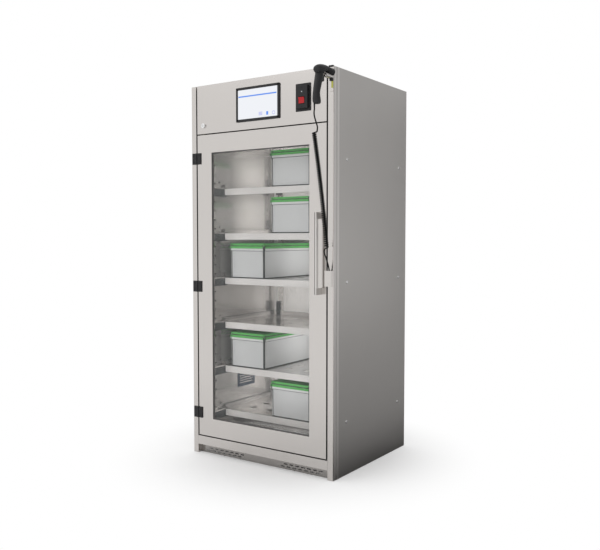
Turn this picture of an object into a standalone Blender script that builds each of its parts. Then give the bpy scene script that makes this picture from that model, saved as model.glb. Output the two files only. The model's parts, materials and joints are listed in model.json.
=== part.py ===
"""Sterile storage cabinet: glazed door, lift-up control fascia, shelves with bins, and a corded hand scanner.

Metres, +Z up, front towards -Y. The origin is on the floor at the middle of the overall footprint.
Depths are measured from the front plane of the posts and door, positive into the cabinet.
"""
import math

import bmesh
import bpy
from mathutils import Matrix, Vector

# Driving sizes
WIDTH = 0.912
DEPTH = 0.765
HEIGHT = 2.000
SHEET = 0.002
SEAT = 0.0003
SCANNER_REACH = 0.135
FRONT = (SCANNER_REACH - DEPTH) / 2

# Door, fascia and posts
POST_SETBACK, POST_FACE, DOOR_GAP, FASCIA_TALL, FASCIA_GAP = 0.0015, 0.0325, 0.008, 0.257, 0.006
POST_OUTER = WIDTH / 2 - POST_SETBACK
POST_INNER = POST_OUTER - POST_FACE
DOOR_HALF = POST_INNER - DOOR_GAP
FASCIA_BOTTOM = HEIGHT - FASCIA_TALL
DOOR_BOTTOM, DOOR_TOP = 0.102, FASCIA_BOTTOM - FASCIA_GAP
DOOR_THICK = 0.040
STILE = 0.100
GLASS_HALF = DOOR_HALF - STILE
DOOR_RAIL, GASKET_ROOM = 0.097, 0.0033
GLASS_BOTTOM, GLASS_TOP = DOOR_BOTTOM + DOOR_RAIL, DOOR_TOP - DOOR_RAIL
STOP_DEPTH = DOOR_THICK + GASKET_ROOM

# Inner box
WALL_SPACE, BACK_SPACE, CEILING_DROP = 0.016, 0.030, 0.037
WALL_HALF = WIDTH / 2 - WALL_SPACE
CHAMBER_FLOOR, CHAMBER_CEILING = 0.105, DOOR_TOP - CEILING_DROP
CHAMBER_BACK = DEPTH - BACK_SPACE

# Shelves; they stop short of the rear uprights
SHELF_COUNT, LOWEST_SHELF, TOP_LESS, SHELF_SIDE_GAP = 6, 0.196, 0.0176, 0.013
SHELF_PITCH = (CHAMBER_CEILING - LOWEST_SHELF + TOP_LESS) / SHELF_COUNT
SHELF_TOPS = [LOWEST_SHELF + SHELF_PITCH * step for step in reversed(range(SHELF_COUNT))]
SHELF_HALF = WALL_HALF - SHELF_SIDE_GAP
UPRIGHT_RISE = 0.010
SHELF_FRONT, SHELF_BACK = 0.240, CHAMBER_BACK - SEAT - UPRIGHT_RISE - SEAT
SHELF_FOLD, SHELF_UPSTAND = 0.036, 0.025
SLOT_PITCH = SHELF_PITCH / 5

# Scanner and its cord
SCANNER_INSET = 0.013
SCANNER_X = WIDTH / 2 - SCANNER_INSET
CORD_RADIUS = 0.0027
COIL_RADIUS = 0.0080
COIL_TURNS = 52
COIL_STEPS = 8

for old in list(bpy.data.objects):
    bpy.data.objects.remove(old)

PARTS = bpy.data.collections.new("sterile_storage_cabinet")
CUTTERS = bpy.data.collections.new("cutters")
for group in (PARTS, CUTTERS):
    bpy.context.scene.collection.children.link(group)


def place(x, depth, z):
    """World position of a point given by its depth behind the front plane."""
    return Vector((x, FRONT + depth, z))


def add_object(name, mesh, group=PARTS):
    thing = bpy.data.objects.new(name, mesh)
    group.objects.link(thing)
    if group is CUTTERS:
        thing.hide_render = True
        thing.display_type = "WIRE"
    return thing


def finish_mesh(name, shape, group):
    mesh = bpy.data.meshes.new(name)
    bmesh.ops.recalc_face_normals(shape, faces=shape.faces)
    shape.to_mesh(mesh)
    shape.free()
    return add_object(name, mesh, group)


def middle(span):
    return (span[0] + span[1]) / 2


def length(span):
    return abs(span[1] - span[0])


def around(centre, half):
    """A span about its centre."""
    return (centre - half, centre + half)


def inset(span, by):
    """A span made shorter at both ends."""
    return (span[0] + by, span[1] - by)


def add_box(shape, x, depth, z):
    """Add a box to a bmesh; returns its vertices."""
    size = Matrix.Diagonal((length(x), length(depth), length(z), 1))
    where = Matrix.Translation(place(middle(x), middle(depth), middle(z)))
    return bmesh.ops.create_cube(shape, size=1, matrix=where @ size)["verts"]


def boxes(name, spans, group=PARTS):
    """One object made of separate boxes, each given as (x, depth, z) spans."""
    shape = bmesh.new()
    for x, depth, z in spans:
        add_box(shape, x, depth, z)
    return finish_mesh(name, shape, group)


def box(name, x, depth, z, group=PARTS):
    return boxes(name, [(x, depth, z)], group)


def add_rod(shape, start, end, radius, sides, tip_radius=None):
    """Add a capped cylinder or cone between two (x, depth, z) points."""
    low, high = place(*start), place(*end)
    along = high - low
    turn = along.to_track_quat("Z", "Y").to_matrix().to_4x4()
    bmesh.ops.create_cone(
        shape, cap_ends=True, cap_tris=False, segments=sides, radius1=radius,
        radius2=radius if tip_radius is None else tip_radius, depth=along.length,
        matrix=Matrix.Translation((low + high) / 2) @ turn)


def rods(name, runs, radius, sides, group=PARTS):
    shape = bmesh.new()
    for start, end in runs:
        add_rod(shape, start, end, radius, sides)
    return finish_mesh(name, shape, group)


def curve_to_mesh(name, data, turn, group=PARTS):
    """Turn a filled or beveled curve into a closed mesh object."""
    source = bpy.data.objects.new(name + "_curve", data)
    bpy.context.scene.collection.objects.link(source)
    source.matrix_world = turn
    bpy.context.view_layer.update()
    evaluated = source.evaluated_get(bpy.context.evaluated_depsgraph_get())
    mesh = bpy.data.meshes.new_from_object(evaluated)
    mesh.transform(source.matrix_world)
    bpy.data.objects.remove(source)
    shape = bmesh.new()
    shape.from_mesh(mesh)
    bpy.data.meshes.remove(mesh)
    bmesh.ops.remove_doubles(shape, verts=shape.verts, dist=0.00001)
    return finish_mesh(name, shape, group)


UPRIGHT = "upright"
SIDEWAYS = "sideways"


def prism(name, outline, direction, span, group=PARTS):
    """Sheet profile run along Z (outline is x, depth) or along X (outline is depth, z)."""
    data = bpy.data.curves.new(name, "CURVE")
    data.dimensions = "2D"
    data.fill_mode = "BOTH"
    data.extrude = length(span) / 2
    spline = data.splines.new("POLY")
    spline.points.add(len(outline) - 1)
    for point, (across, up) in zip(spline.points, outline):
        point.co = (across, up, 0, 1)
    spline.use_cyclic_u = True
    if direction == UPRIGHT:
        turn = Matrix.Translation((0, FRONT, middle(span)))
    else:
        axes = Matrix(((0, 0, 1, 0), (1, 0, 0, 0), (0, 1, 0, 0), (0, 0, 0, 1)))
        turn = Matrix.Translation((middle(span), FRONT, 0)) @ axes
    return curve_to_mesh(name, data, turn, group)


def tube(name, points, radius, resolution):
    """Round tube through (x, depth, z) points, closed at both ends."""
    data = bpy.data.curves.new(name, "CURVE")
    data.dimensions = "3D"
    data.bevel_depth = radius
    data.bevel_resolution = resolution
    data.use_fill_caps = True
    spline = data.splines.new("POLY")
    spline.points.add(len(points) - 1)
    for point, where in zip(spline.points, points):
        point.co = (*place(*where), 1)
    thing = curve_to_mesh(name, data, Matrix.Identity(4))
    shade_round(thing)
    return thing


def boolean(thing, other, operation):
    step = thing.modifiers.new(other.name, "BOOLEAN")
    step.operation = operation
    step.solver = "EXACT"
    step.object = other


def cut(thing, *others):
    for other in others:
        boolean(thing, other, "DIFFERENCE")


def join(thing, *others):
    for other in others:
        boolean(thing, other, "UNION")


def soften(thing, width, segments=2):
    step = thing.modifiers.new("soft_edges", "BEVEL")
    step.width = width
    step.segments = segments
    step.limit_method = "ANGLE"
    step.angle_limit = math.radians(40)


def shade_round(thing):
    for face in thing.data.polygons:
        face.use_smooth = True


def put_origin(thing, where):
    """Move an object's origin onto its joint axis without moving its shape."""
    thing.data.transform(Matrix.Translation(-where))
    thing.location = where


def mirrored(outline, side):
    return [(side * x, depth) for x, depth in outline]


def arc(centre, radius, start, end, steps):
    """Points of an arc in a profile, angles in degrees."""
    turns = [math.radians(start + (end - start) * step / steps) for step in range(steps + 1)]
    return [(centre[0] + radius * math.cos(turn), centre[1] + radius * math.sin(turn)) for turn in turns]


def blend(a, b, start, end, t):
    return a * ((end - t) / (end - start)) + b * ((t - start) / (end - start))


def smooth_route(stops, per_span):
    """Centripetal Catmull-Rom points through hand-chosen stops."""
    stops = [Vector(stop) for stop in stops]
    ends = [stops[0] * 2 - stops[1]] + stops + [stops[-1] * 2 - stops[-2]]
    route = []
    for p0, p1, p2, p3 in zip(ends, ends[1:], ends[2:], ends[3:]):
        k1 = (p1 - p0).length ** 0.5
        k2 = k1 + (p2 - p1).length ** 0.5
        k3 = k2 + (p3 - p2).length ** 0.5
        for step in range(per_span):
            t = k1 + (k2 - k1) * step / per_span
            second = blend(p1, p2, k1, k2, t)
            left = blend(blend(p0, p1, 0, k1, t), second, 0, k2, t)
            right = blend(second, blend(p2, p3, k2, k3, t), k1, k3, t)
            route.append(blend(left, right, k1, k2, t))
    return route + [stops[-1]]


# Outer panels
SIDE_FRONT, BEND, RETURN = 0.0175, 0.008, 0.020
SIDE_HALF = WIDTH / 2
SCREW_RISE, SCREW_RADIUS = 0.0025, 0.0075
SCREW_DEPTHS, SCREW_HEIGHTS = (0.123, 0.677), (1.569, 0.968, 0.270)
for side, name in ((-1, "left_side_panel"), (1, "right_side_panel")):
    bend_centre = (SIDE_HALF - BEND, SIDE_FRONT + BEND)
    outline = [(SIDE_HALF - RETURN, SIDE_FRONT)]
    outline += arc(bend_centre, BEND, -90, 0, 5)
    outline += [(SIDE_HALF, DEPTH), (SIDE_HALF - RETURN, DEPTH), (SIDE_HALF - RETURN, DEPTH - SHEET),
                (SIDE_HALF - SHEET, DEPTH - SHEET)]
    outline += arc(bend_centre, BEND - SHEET, 0, -90, 5)
    outline += [(SIDE_HALF - RETURN, SIDE_FRONT + SHEET)]
    panel = prism(name, mirrored(outline, side), UPRIGHT, (0, HEIGHT))
    heads = bmesh.new()
    for depth in SCREW_DEPTHS:
        for z in SCREW_HEIGHTS:
            root = (side * (SIDE_HALF - SHEET / 2), depth, z)
            tip = (side * (SIDE_HALF + SCREW_RISE), depth, z)
            add_rod(heads, root, tip, SCREW_RADIUS, 8, SCREW_RADIUS / 2)
    join(panel, finish_mesh(name + "_screws", heads, CUTTERS))

BACK_HALF = SIDE_HALF - RETURN - SEAT
BACK_FOLD = 0.012
back = box("back_panel", (-BACK_HALF, BACK_HALF), (DEPTH - BACK_FOLD, DEPTH), (0, HEIGHT))
cut(back, box("back_hollow", (-BACK_HALF + SHEET, BACK_HALF - SHEET),
              (DEPTH - BACK_FOLD - SHEET, DEPTH - SHEET), (SHEET, HEIGHT - SHEET), CUTTERS))

STOP_LAP = 0.026
STOP_TIP = POST_INNER - STOP_LAP
TOP_FRONT = STOP_DEPTH + SHEET + SEAT
TOP_HALF = SIDE_HALF - SHEET - SEAT
TOP_FOLD, TOP_TONGUE = 0.015, 0.030
TOP_BACK = DEPTH - BACK_FOLD - SEAT
top = box("top_panel", (-TOP_HALF, TOP_HALF), (TOP_FRONT, TOP_BACK), (HEIGHT - TOP_FOLD, HEIGHT))
cut(top, box("top_hollow", (-TOP_HALF + SHEET, TOP_HALF - SHEET), (TOP_FRONT + SHEET, TOP_BACK - SHEET),
             (HEIGHT - TOP_FOLD - SHEET, HEIGHT - SHEET), CUTTERS))
join(top, box("top_tongue", (-STOP_TIP + SEAT, STOP_TIP - SEAT), (TOP_TONGUE, TOP_FRONT + SHEET),
              (HEIGHT - SHEET, HEIGHT), CUTTERS))

# Front posts, each one folded sheet with a door stop behind the door's edge
for side, name in ((-1, "left_post"), (1, "right_post")):
    outline = [(POST_OUTER, SIDE_FRONT - SEAT), (POST_OUTER, 0), (POST_INNER, 0), (POST_INNER, STOP_DEPTH),
               (STOP_TIP, STOP_DEPTH), (STOP_TIP, STOP_DEPTH + SHEET), (WALL_HALF + SHEET, STOP_DEPTH + SHEET),
               (WALL_HALF + SHEET, STOP_DEPTH), (POST_INNER + SHEET, STOP_DEPTH), (POST_INNER + SHEET, SHEET),
               (POST_OUTER - SHEET, SHEET), (POST_OUTER - SHEET, SIDE_FRONT - SEAT)]
    prism(name, mirrored(outline, side), UPRIGHT, (0, HEIGHT))

# Lower rail and recessed kick plate, one folded sheet with a foot that lies on the floor
RAIL_TOP, RAIL_BOTTOM = 0.096, 0.048
KICK_DEPTH, RAIL_RETURN = 0.028, 0.040
FOOT = STOP_DEPTH - SEAT - KICK_DEPTH
rail_half = POST_INNER - SEAT
plinth = prism("plinth_panel", [
    (RAIL_RETURN, RAIL_TOP), (0, RAIL_TOP), (0, RAIL_BOTTOM), (KICK_DEPTH, RAIL_BOTTOM), (KICK_DEPTH, 0),
    (KICK_DEPTH + FOOT, 0), (KICK_DEPTH + FOOT, SHEET), (KICK_DEPTH + SHEET, SHEET),
    (KICK_DEPTH + SHEET, RAIL_BOTTOM + SHEET), (SHEET, RAIL_BOTTOM + SHEET), (SHEET, RAIL_TOP - SHEET),
    (RAIL_RETURN, RAIL_TOP - SHEET)], SIDEWAYS, (-rail_half, rail_half))
VENT_HALF, VENT_HEIGHT, VENT_PITCH = 0.0115, 0.005, 0.036
VENT_INSET, VENT_ROWS, VENT_COUNT = 0.172, (0.013, 0.026), 7
VENT_GROUPS = around(0, POST_INNER - VENT_INSET)
vents = bmesh.new()
for group_x in VENT_GROUPS:
    for row, z in enumerate(VENT_ROWS):
        for slot in range(VENT_COUNT):
            x = group_x + (slot - (VENT_COUNT - 1) / 2 + (row - 0.5) / 2) * VENT_PITCH
            add_box(vents, (x - VENT_HALF, x + VENT_HALF), (KICK_DEPTH - SHEET, KICK_DEPTH + 2 * SHEET),
                    (z - VENT_HEIGHT / 2, z + VENT_HEIGHT / 2))
vent_cutter = finish_mesh("vent_slots", vents, CUTTERS)
cut(plinth, vent_cutter)

# Inner box: side walls folded out to the side panels, floor and ceiling with lips the door seals on
WALL_FRONT = STOP_DEPTH + SHEET + SEAT
WALL_BOTTOM, WALL_TOP = CHAMBER_FLOOR - SHEET, CHAMBER_CEILING + SHEET
for side, name in ((-1, "left_inner_wall"), (1, "right_inner_wall")):
    fold_tip = SIDE_HALF - SHEET - SEAT
    outline = [(fold_tip, WALL_FRONT), (WALL_HALF, WALL_FRONT), (WALL_HALF, CHAMBER_BACK),
               (WALL_HALF + SHEET, CHAMBER_BACK), (WALL_HALF + SHEET, WALL_FRONT + SHEET),
               (fold_tip, WALL_FRONT + SHEET)]
    prism(name, mirrored(outline, side), UPRIGHT, (WALL_BOTTOM, WALL_TOP))
box("chamber_back", (-WALL_HALF - SHEET, WALL_HALF + SHEET),
    (CHAMBER_BACK + SEAT, CHAMBER_BACK + SEAT + SHEET), (WALL_BOTTOM, WALL_TOP))

inner_half = WALL_HALF - SEAT
lip_half = STOP_TIP - SEAT
FLOOR_LIP = 0.128
for name, z, lip in (
        ("chamber_floor", (CHAMBER_FLOOR - SHEET, CHAMBER_FLOOR), (CHAMBER_FLOOR - SHEET, FLOOR_LIP)),
        ("chamber_ceiling", (CHAMBER_CEILING, CHAMBER_CEILING + SHEET), (CHAMBER_CEILING, DOOR_TOP))):
    plate = box(name, (-inner_half, inner_half), (WALL_FRONT, CHAMBER_BACK - SEAT), z)
    join(plate,
         box(name + "_nose", (-lip_half, lip_half), (STOP_DEPTH, WALL_FRONT + SHEET), z, CUTTERS),
         box(name + "_lip", (-lip_half, lip_half), (STOP_DEPTH, STOP_DEPTH + SHEET), lip, CUTTERS))

# Slotted uprights: the front pair on the side walls, the rear pair on the back wall
UPRIGHT_LIFT, UPRIGHT_DROP = 0.025, 0.010
UPRIGHT_BOTTOM, UPRIGHT_TOP = CHAMBER_FLOOR + UPRIGHT_LIFT, CHAMBER_CEILING - UPRIGHT_DROP
SLOT_HALF, SLOT_TALL, SLOT_COUNT = 0.005, 0.008, 29
slot_heights = [LOWEST_SHELF + SLOT_PITCH * (step - 0.5) for step in range(SLOT_COUNT)]


def upright(name, strip, hollow, slot):
    """Hollow strip with a row of slots; the arguments are its (x, depth) spans."""
    body = box(name, *strip, (UPRIGHT_BOTTOM, UPRIGHT_TOP))
    slots = [(*slot, (z - SLOT_TALL / 2, z + SLOT_TALL / 2)) for z in slot_heights]
    cut(body, box(name + "_hollow", *hollow, (UPRIGHT_BOTTOM - SHEET, UPRIGHT_TOP + SHEET), CUTTERS),
        boxes(name + "_slots", slots, CUTTERS))


def sided(side, span):
    return (side * span[0], side * span[1])


FRONT_STRIP, REAR_STRIP_INSET = (0.145, 0.175), (0.070, 0.035)
REAR_STRIP = (WALL_HALF - REAR_STRIP_INSET[0], WALL_HALF - REAR_STRIP_INSET[1])
for side, hand in ((-1, "left"), (1, "right")):
    wall = WALL_HALF - SEAT
    face = wall - UPRIGHT_RISE
    upright(f"front_{hand}_upright", (sided(side, (face, wall)), FRONT_STRIP),
            (sided(side, (face + SHEET, wall + SHEET)), inset(FRONT_STRIP, SHEET)),
            (sided(side, (face - SHEET, face + 2 * SHEET)), around(middle(FRONT_STRIP), SLOT_HALF)))
    wall = CHAMBER_BACK - SEAT
    face = wall - UPRIGHT_RISE
    upright(f"rear_{hand}_upright", (sided(side, REAR_STRIP), (face, wall)),
            (sided(side, inset(REAR_STRIP, SHEET)), (face + SHEET, wall + SHEET)),
            (sided(side, around(middle(REAR_STRIP), SLOT_HALF)), (face - SHEET, face + 2 * SHEET)))

# Perforated shelves; the side upstands run forward as arms that hook into the front uprights
ARM_FRONT, ARM_LAP, ARM_HALF = 0.150, 0.020, 0.030
EAR_RISE, EAR_DEPTH = 0.050, (0.196, 0.234)
EAR_SCREW_DEPTH, EAR_SCREW_RISE, EAR_SCREW_RADIUS = 0.216, 0.036, 0.004
HOOK_INSET, HOOK_HALF, CLIP_DEEP, CLIP_DROP = 0.008, 0.020, 0.030, 0.014
HOLE_RADIUS, HOLE_PITCH_X, HOLE_PITCH_Y = 0.021, 0.125, 0.123
HOLE_COLUMNS, HOLE_ROWS = 6, 3
HOLE_SIDES = 8
for number, z in enumerate(SHELF_TOPS, start=1):
    name = f"shelf_{number}"
    shelf = box(name, (-SHELF_HALF, SHELF_HALF), (SHELF_FRONT, SHELF_BACK), (z - SHELF_FOLD, z + SHELF_UPSTAND))
    holes = bmesh.new()
    for row in range(HOLE_ROWS):
        for column in range(HOLE_COLUMNS):
            x = (column - (HOLE_COLUMNS - 1) / 2) * HOLE_PITCH_X
            depth = middle((SHELF_FRONT, SHELF_BACK)) + (row - (HOLE_ROWS - 1) / 2) * HOLE_PITCH_Y
            add_rod(holes, (x, depth, z - 3 * SHEET), (x, depth, z + 2 * SHEET), HOLE_RADIUS, HOLE_SIDES)
    cut(shelf,
        box(name + "_above", (-SHELF_HALF + SHEET, SHELF_HALF - SHEET),
            (SHELF_FRONT - SHEET, SHELF_BACK - SHEET), (z, z + 2 * SHELF_UPSTAND), CUTTERS),
        box(name + "_below", (-SHELF_HALF - SHEET, SHELF_HALF + SHEET),
            (SHELF_FRONT + SHEET, SHELF_BACK + SHEET), (z - 2 * SHELF_FOLD, z - SHEET), CUTTERS),
        box(name + "_front_notch_left", (-SHELF_HALF - SHEET, -SHELF_HALF + SHEET),
            (SHELF_FRONT - SHEET, SHELF_FRONT + SHEET), (z, z + 2 * SHELF_UPSTAND), CUTTERS),
        box(name + "_front_notch_right", (SHELF_HALF - SHEET, SHELF_HALF + SHEET),
            (SHELF_FRONT - SHEET, SHELF_FRONT + SHEET), (z, z + 2 * SHELF_UPSTAND), CUTTERS),
        finish_mesh(name + "_holes", holes, CUTTERS))
    arms, ears, hooks, clips, ear_screws = [], [], [], [], []
    for side in (-1, 1):
        web = sided(side, (SHELF_HALF - SHEET, SHELF_HALF))
        arms.append((web, (ARM_FRONT, SHELF_FRONT + ARM_LAP), around(z, ARM_HALF)))
        ears.append((web, EAR_DEPTH, (z + ARM_HALF / 2, z + EAR_RISE)))
        hooks.append((sided(side, (SHELF_HALF - SHEET / 2, WALL_HALF - UPRIGHT_RISE - 2 * SEAT)),
                      inset(FRONT_STRIP, HOOK_INSET), around(z, HOOK_HALF)))
        clips.append((sided(side, inset(REAR_STRIP, HOOK_INSET)), (SHELF_BACK - CLIP_DEEP, SHELF_BACK),
                      (z - CLIP_DROP, z - SHEET / 2)))
        ear_screws.append(((side * (SHELF_HALF - SHEET / 2), EAR_SCREW_DEPTH, z + EAR_SCREW_RISE),
                           (side * (SHELF_HALF - 2 * SHEET), EAR_SCREW_DEPTH, z + EAR_SCREW_RISE)))
    for what, spans in (("arms", arms), ("ears", ears), ("hooks", hooks), ("clips", clips)):
        join(shelf, boxes(f"{name}_{what}", spans, CUTTERS))
    join(shelf, rods(name + "_screws", ear_screws, EAR_SCREW_RADIUS, 8, CUTTERS))

# Bins with lids, fronts level with the shelf fronts
BIN_WIDTH, BIN_DEPTH = 0.245, 0.478
BIN_WALL, RIM_HEIGHT, LID_LOW, LID_HIGH, BIN_ROOM = 0.0025, 0.012, 0.012, 0.016, 0.0646
BODY_HEIGHT = SHELF_PITCH - BIN_ROOM - RIM_HEIGHT - LID_LOW - LID_HIGH
RIM_INSET, BODY_INSET, TIER_INSET, TAPER = 0.001, 0.006, 0.006, 0.99
LID_CORNER, RIM_CORNER, BODY_CORNER, ROOM_CORNER = 0.008, 0.007, 0.006, 0.005


def rounded_box(name, x, depth, z, radius, taper=1.0, group=PARTS):
    """Box with rounded upright edges whose foot is narrower by the taper."""
    shape = bmesh.new()
    corners = add_box(shape, x, depth, z)
    centre = place(middle(x), middle(depth), 0)
    for corner in corners:
        if corner.co.z < middle(z):
            corner.co.x = centre.x + (corner.co.x - centre.x) * taper
            corner.co.y = centre.y + (corner.co.y - centre.y) * taper
    standing = [edge for edge in shape.edges if abs(edge.verts[0].co.z - edge.verts[1].co.z) > length(z) / 2]
    bmesh.ops.bevel(shape, geom=standing, offset=radius, segments=2, profile=0.5, affect="EDGES")
    return finish_mesh(name, shape, group)


BIN_SIDE_GAP, BIN_OFFSET = 0.039, 0.0235
BIN_LEFT, BIN_MIDDLE = BIN_SIDE_GAP - SHELF_HALF, BIN_OFFSET - BIN_WIDTH / 2
BIN_PLACES = [(0, BIN_MIDDLE), (1, BIN_MIDDLE), (2, BIN_LEFT), (4, BIN_LEFT), (5, BIN_MIDDLE)]
for number, (shelf_index, left) in enumerate(BIN_PLACES, start=1):
    foot = SHELF_TOPS[shelf_index] + SEAT
    rim_z = foot + BODY_HEIGHT
    x = (left, left + BIN_WIDTH)
    depth = (SHELF_FRONT + SEAT, SHELF_FRONT + SEAT + BIN_DEPTH)
    name = f"bin_{number}"
    bin_body = rounded_box(name, inset(x, BODY_INSET), inset(depth, BODY_INSET), (foot, rim_z + RIM_HEIGHT),
                           BODY_CORNER, TAPER)
    rim = rounded_box(name + "_rim", inset(x, RIM_INSET), inset(depth, RIM_INSET), (rim_z, rim_z + RIM_HEIGHT),
                      RIM_CORNER, 1.0, CUTTERS)
    room = BODY_INSET + BIN_WALL
    inside = rounded_box(name + "_inside", inset(x, room), inset(depth, room),
                         (foot + BIN_WALL, rim_z + 2 * RIM_HEIGHT), ROOM_CORNER, TAPER, CUTTERS)
    join(bin_body, rim)
    cut(bin_body, inside)
    lid_foot = rim_z + RIM_HEIGHT + SEAT
    lid = rounded_box(f"bin_lid_{number}", x, depth, (lid_foot, lid_foot + LID_LOW), LID_CORNER)
    tier = rounded_box(f"bin_lid_{number}_tier", inset(x, TIER_INSET), inset(depth, TIER_INSET),
                       (lid_foot + LID_LOW / 2, lid_foot + LID_LOW + LID_HIGH), RIM_CORNER, 1.0, CUTTERS)
    lid_room = rounded_box(f"bin_lid_{number}_room", inset(x, room), inset(depth, room),
                           (lid_foot - LID_LOW, lid_foot + LID_LOW + LID_HIGH - BIN_WALL), ROOM_CORNER, 1.0,
                           CUTTERS)
    join(lid, tier)
    cut(lid, lid_room)

# Louvred air grille on the left wall
GRILLE_DEPTH, GRILLE_Z, GRILLE_THICK = (0.367, 0.524), (0.300, 0.425), 0.004
LOUVRE_PITCH, LOUVRE_HALF, LOUVRE_COUNT, GRILLE_BORDER = 0.014, 0.0035, 7, 0.014
grille_x = (-WALL_HALF + SEAT, -WALL_HALF + SEAT + GRILLE_THICK)
grille = box("air_grille", grille_x, GRILLE_DEPTH, GRILLE_Z)
louvres = [(inset(grille_x, -SHEET), inset(GRILLE_DEPTH, GRILLE_BORDER),
            around(middle(GRILLE_Z) + LOUVRE_PITCH * (row - (LOUVRE_COUNT - 1) / 2), LOUVRE_HALF))
           for row in range(LOUVRE_COUNT)]
cut(grille, boxes("grille_slots", louvres, CUTTERS))

# Cable box on the right post, open at the top
BOX_OVER, BOX_OUT, BOX_Z, BOX_PROUD = 0.003, 0.0005, (0.952, 1.028), 0.025
BOX_X = (POST_INNER - BOX_OVER, POST_OUTER + BOX_OUT)
BOX_SCREW_RISE, BOX_SCREW_PROUD, BOX_SCREW_RADIUS = 0.014, 0.0015, 0.003
cable_box = box("cable_box", BOX_X, (-BOX_PROUD, -SEAT), BOX_Z)
cut(cable_box, box("cable_box_room", inset(BOX_X, SHEET), (-BOX_PROUD + SHEET, -SEAT - SHEET),
                   (BOX_Z[0] + SHEET, BOX_Z[1] + SHEET), CUTTERS))
box_screw = [(middle(BOX_X), depth, BOX_Z[0] + BOX_SCREW_RISE)
             for depth in (-BOX_PROUD + SHEET / 2, -BOX_PROUD - BOX_SCREW_PROUD)]
join(cable_box, rods("cable_box_screw", [box_screw], BOX_SCREW_RADIUS, 8, CUTTERS))

# Scanner holder: back plate on the post, round socket and a saddle under the scanner's head
HEAD_Z = (HEIGHT - 0.052, HEIGHT - 0.010)
HOLDER_X, HOLDER_PLATE = (SCANNER_X - 0.013, SCANNER_X + 0.0105), 0.003
HOLDER_Z = (HEIGHT - 0.120, HEIGHT - 0.015)
SOCKET_X, SOCKET_Z, SOCKET_RADIUS, SOCKET_REACH = SCANNER_X - 0.002, HEIGHT - 0.073, 0.0135, 0.060
SADDLE_X, SADDLE_FOOT, SADDLE_REACH = (SCANNER_X - 0.016, SCANNER_X + 0.012), HEIGHT - 0.064, 0.058
holder = box("scanner_holder", HOLDER_X, (-HOLDER_PLATE - SEAT, -SEAT), HOLDER_Z)
plate_middle = -SEAT - HOLDER_PLATE / 2
socket_run = [(SOCKET_X, depth, SOCKET_Z) for depth in (plate_middle, -SOCKET_REACH)]
join(holder, rods("holder_socket", [socket_run], SOCKET_RADIUS, 14, CUTTERS),
     box("holder_saddle", SADDLE_X, (-SADDLE_REACH, plate_middle), (SADDLE_FOOT, HEAD_Z[0] - SEAT), CUTTERS))

# Scanner: rounded head with its nose towards the post, and a grip that leans forward
HEAD_DEPTH, HEAD_HALF, REAR_RAKE, HEAD_EDGE = (-SCANNER_REACH, -0.010), 0.025, 0.012, 0.012
GRIP_TOP, GRIP_FOOT = (-0.094, HEIGHT - 0.040), (-0.119, HEIGHT - 0.196)
GRIP_WIDE, GRIP_DEEP, GRIP_EDGE = 0.035, 0.034, 0.011
scanner_shape = bmesh.new()
head_corners = add_box(scanner_shape, around(SCANNER_X, HEAD_HALF), HEAD_DEPTH, HEAD_Z)
for corner in head_corners:
    if corner.co.y < FRONT + middle(HEAD_DEPTH) and corner.co.z < middle(HEAD_Z):
        corner.co.y += REAR_RAKE
scanner = finish_mesh("scanner_body", scanner_shape, PARTS)
soften(scanner, HEAD_EDGE, 3)
grip_shape = bmesh.new()
grip_corners = add_box(grip_shape, around(SCANNER_X, GRIP_WIDE / 2), around(GRIP_TOP[0], GRIP_DEEP / 2),
                       (GRIP_FOOT[1], GRIP_TOP[1]))
for corner in grip_corners:
    if corner.co.z < middle((GRIP_FOOT[1], GRIP_TOP[1])):
        corner.co.y += GRIP_FOOT[0] - GRIP_TOP[0]
grip = finish_mesh("scanner_grip", grip_shape, CUTTERS)
soften(grip, GRIP_EDGE, 3)
join(scanner, grip)
TRIGGER_X, TRIGGER_Z = around(SCANNER_X, 0.007), (HEIGHT - 0.088, HEIGHT - 0.062)
POCKET_DEPTH, TRIGGER_TRAVEL, TRIGGER_SPARE, TRIGGER_FRONT = (-0.098, -0.050), 0.004, 0.001, -0.068
trigger_depth = (POCKET_DEPTH[0] + TRIGGER_TRAVEL + TRIGGER_SPARE, TRIGGER_FRONT)
cut(scanner, box("trigger_pocket", inset(TRIGGER_X, -SEAT), POCKET_DEPTH, inset(TRIGGER_Z, -SEAT), CUTTERS))
trigger = box("scanner_trigger", TRIGGER_X, trigger_depth, TRIGGER_Z)
put_origin(trigger, place(SCANNER_X, middle(trigger_depth), middle(TRIGGER_Z)))
relief_shape = bmesh.new()
RELIEF_X, RELIEF_DEPTH = SCANNER_X - 0.007, -0.127
RELIEF_TOP, RELIEF_FOOT, RELIEF_RADIUS, RELIEF_TIP = GRIP_FOOT[1] + 0.004, HEIGHT - 0.216, 0.0050, 0.0030
relief_run = [(RELIEF_X, RELIEF_DEPTH, z) for z in (RELIEF_TOP, RELIEF_FOOT)]
add_rod(relief_shape, *relief_run, RELIEF_RADIUS, 10, RELIEF_TIP)
join(scanner, finish_mesh("strain_relief", relief_shape, CUTTERS))

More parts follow.
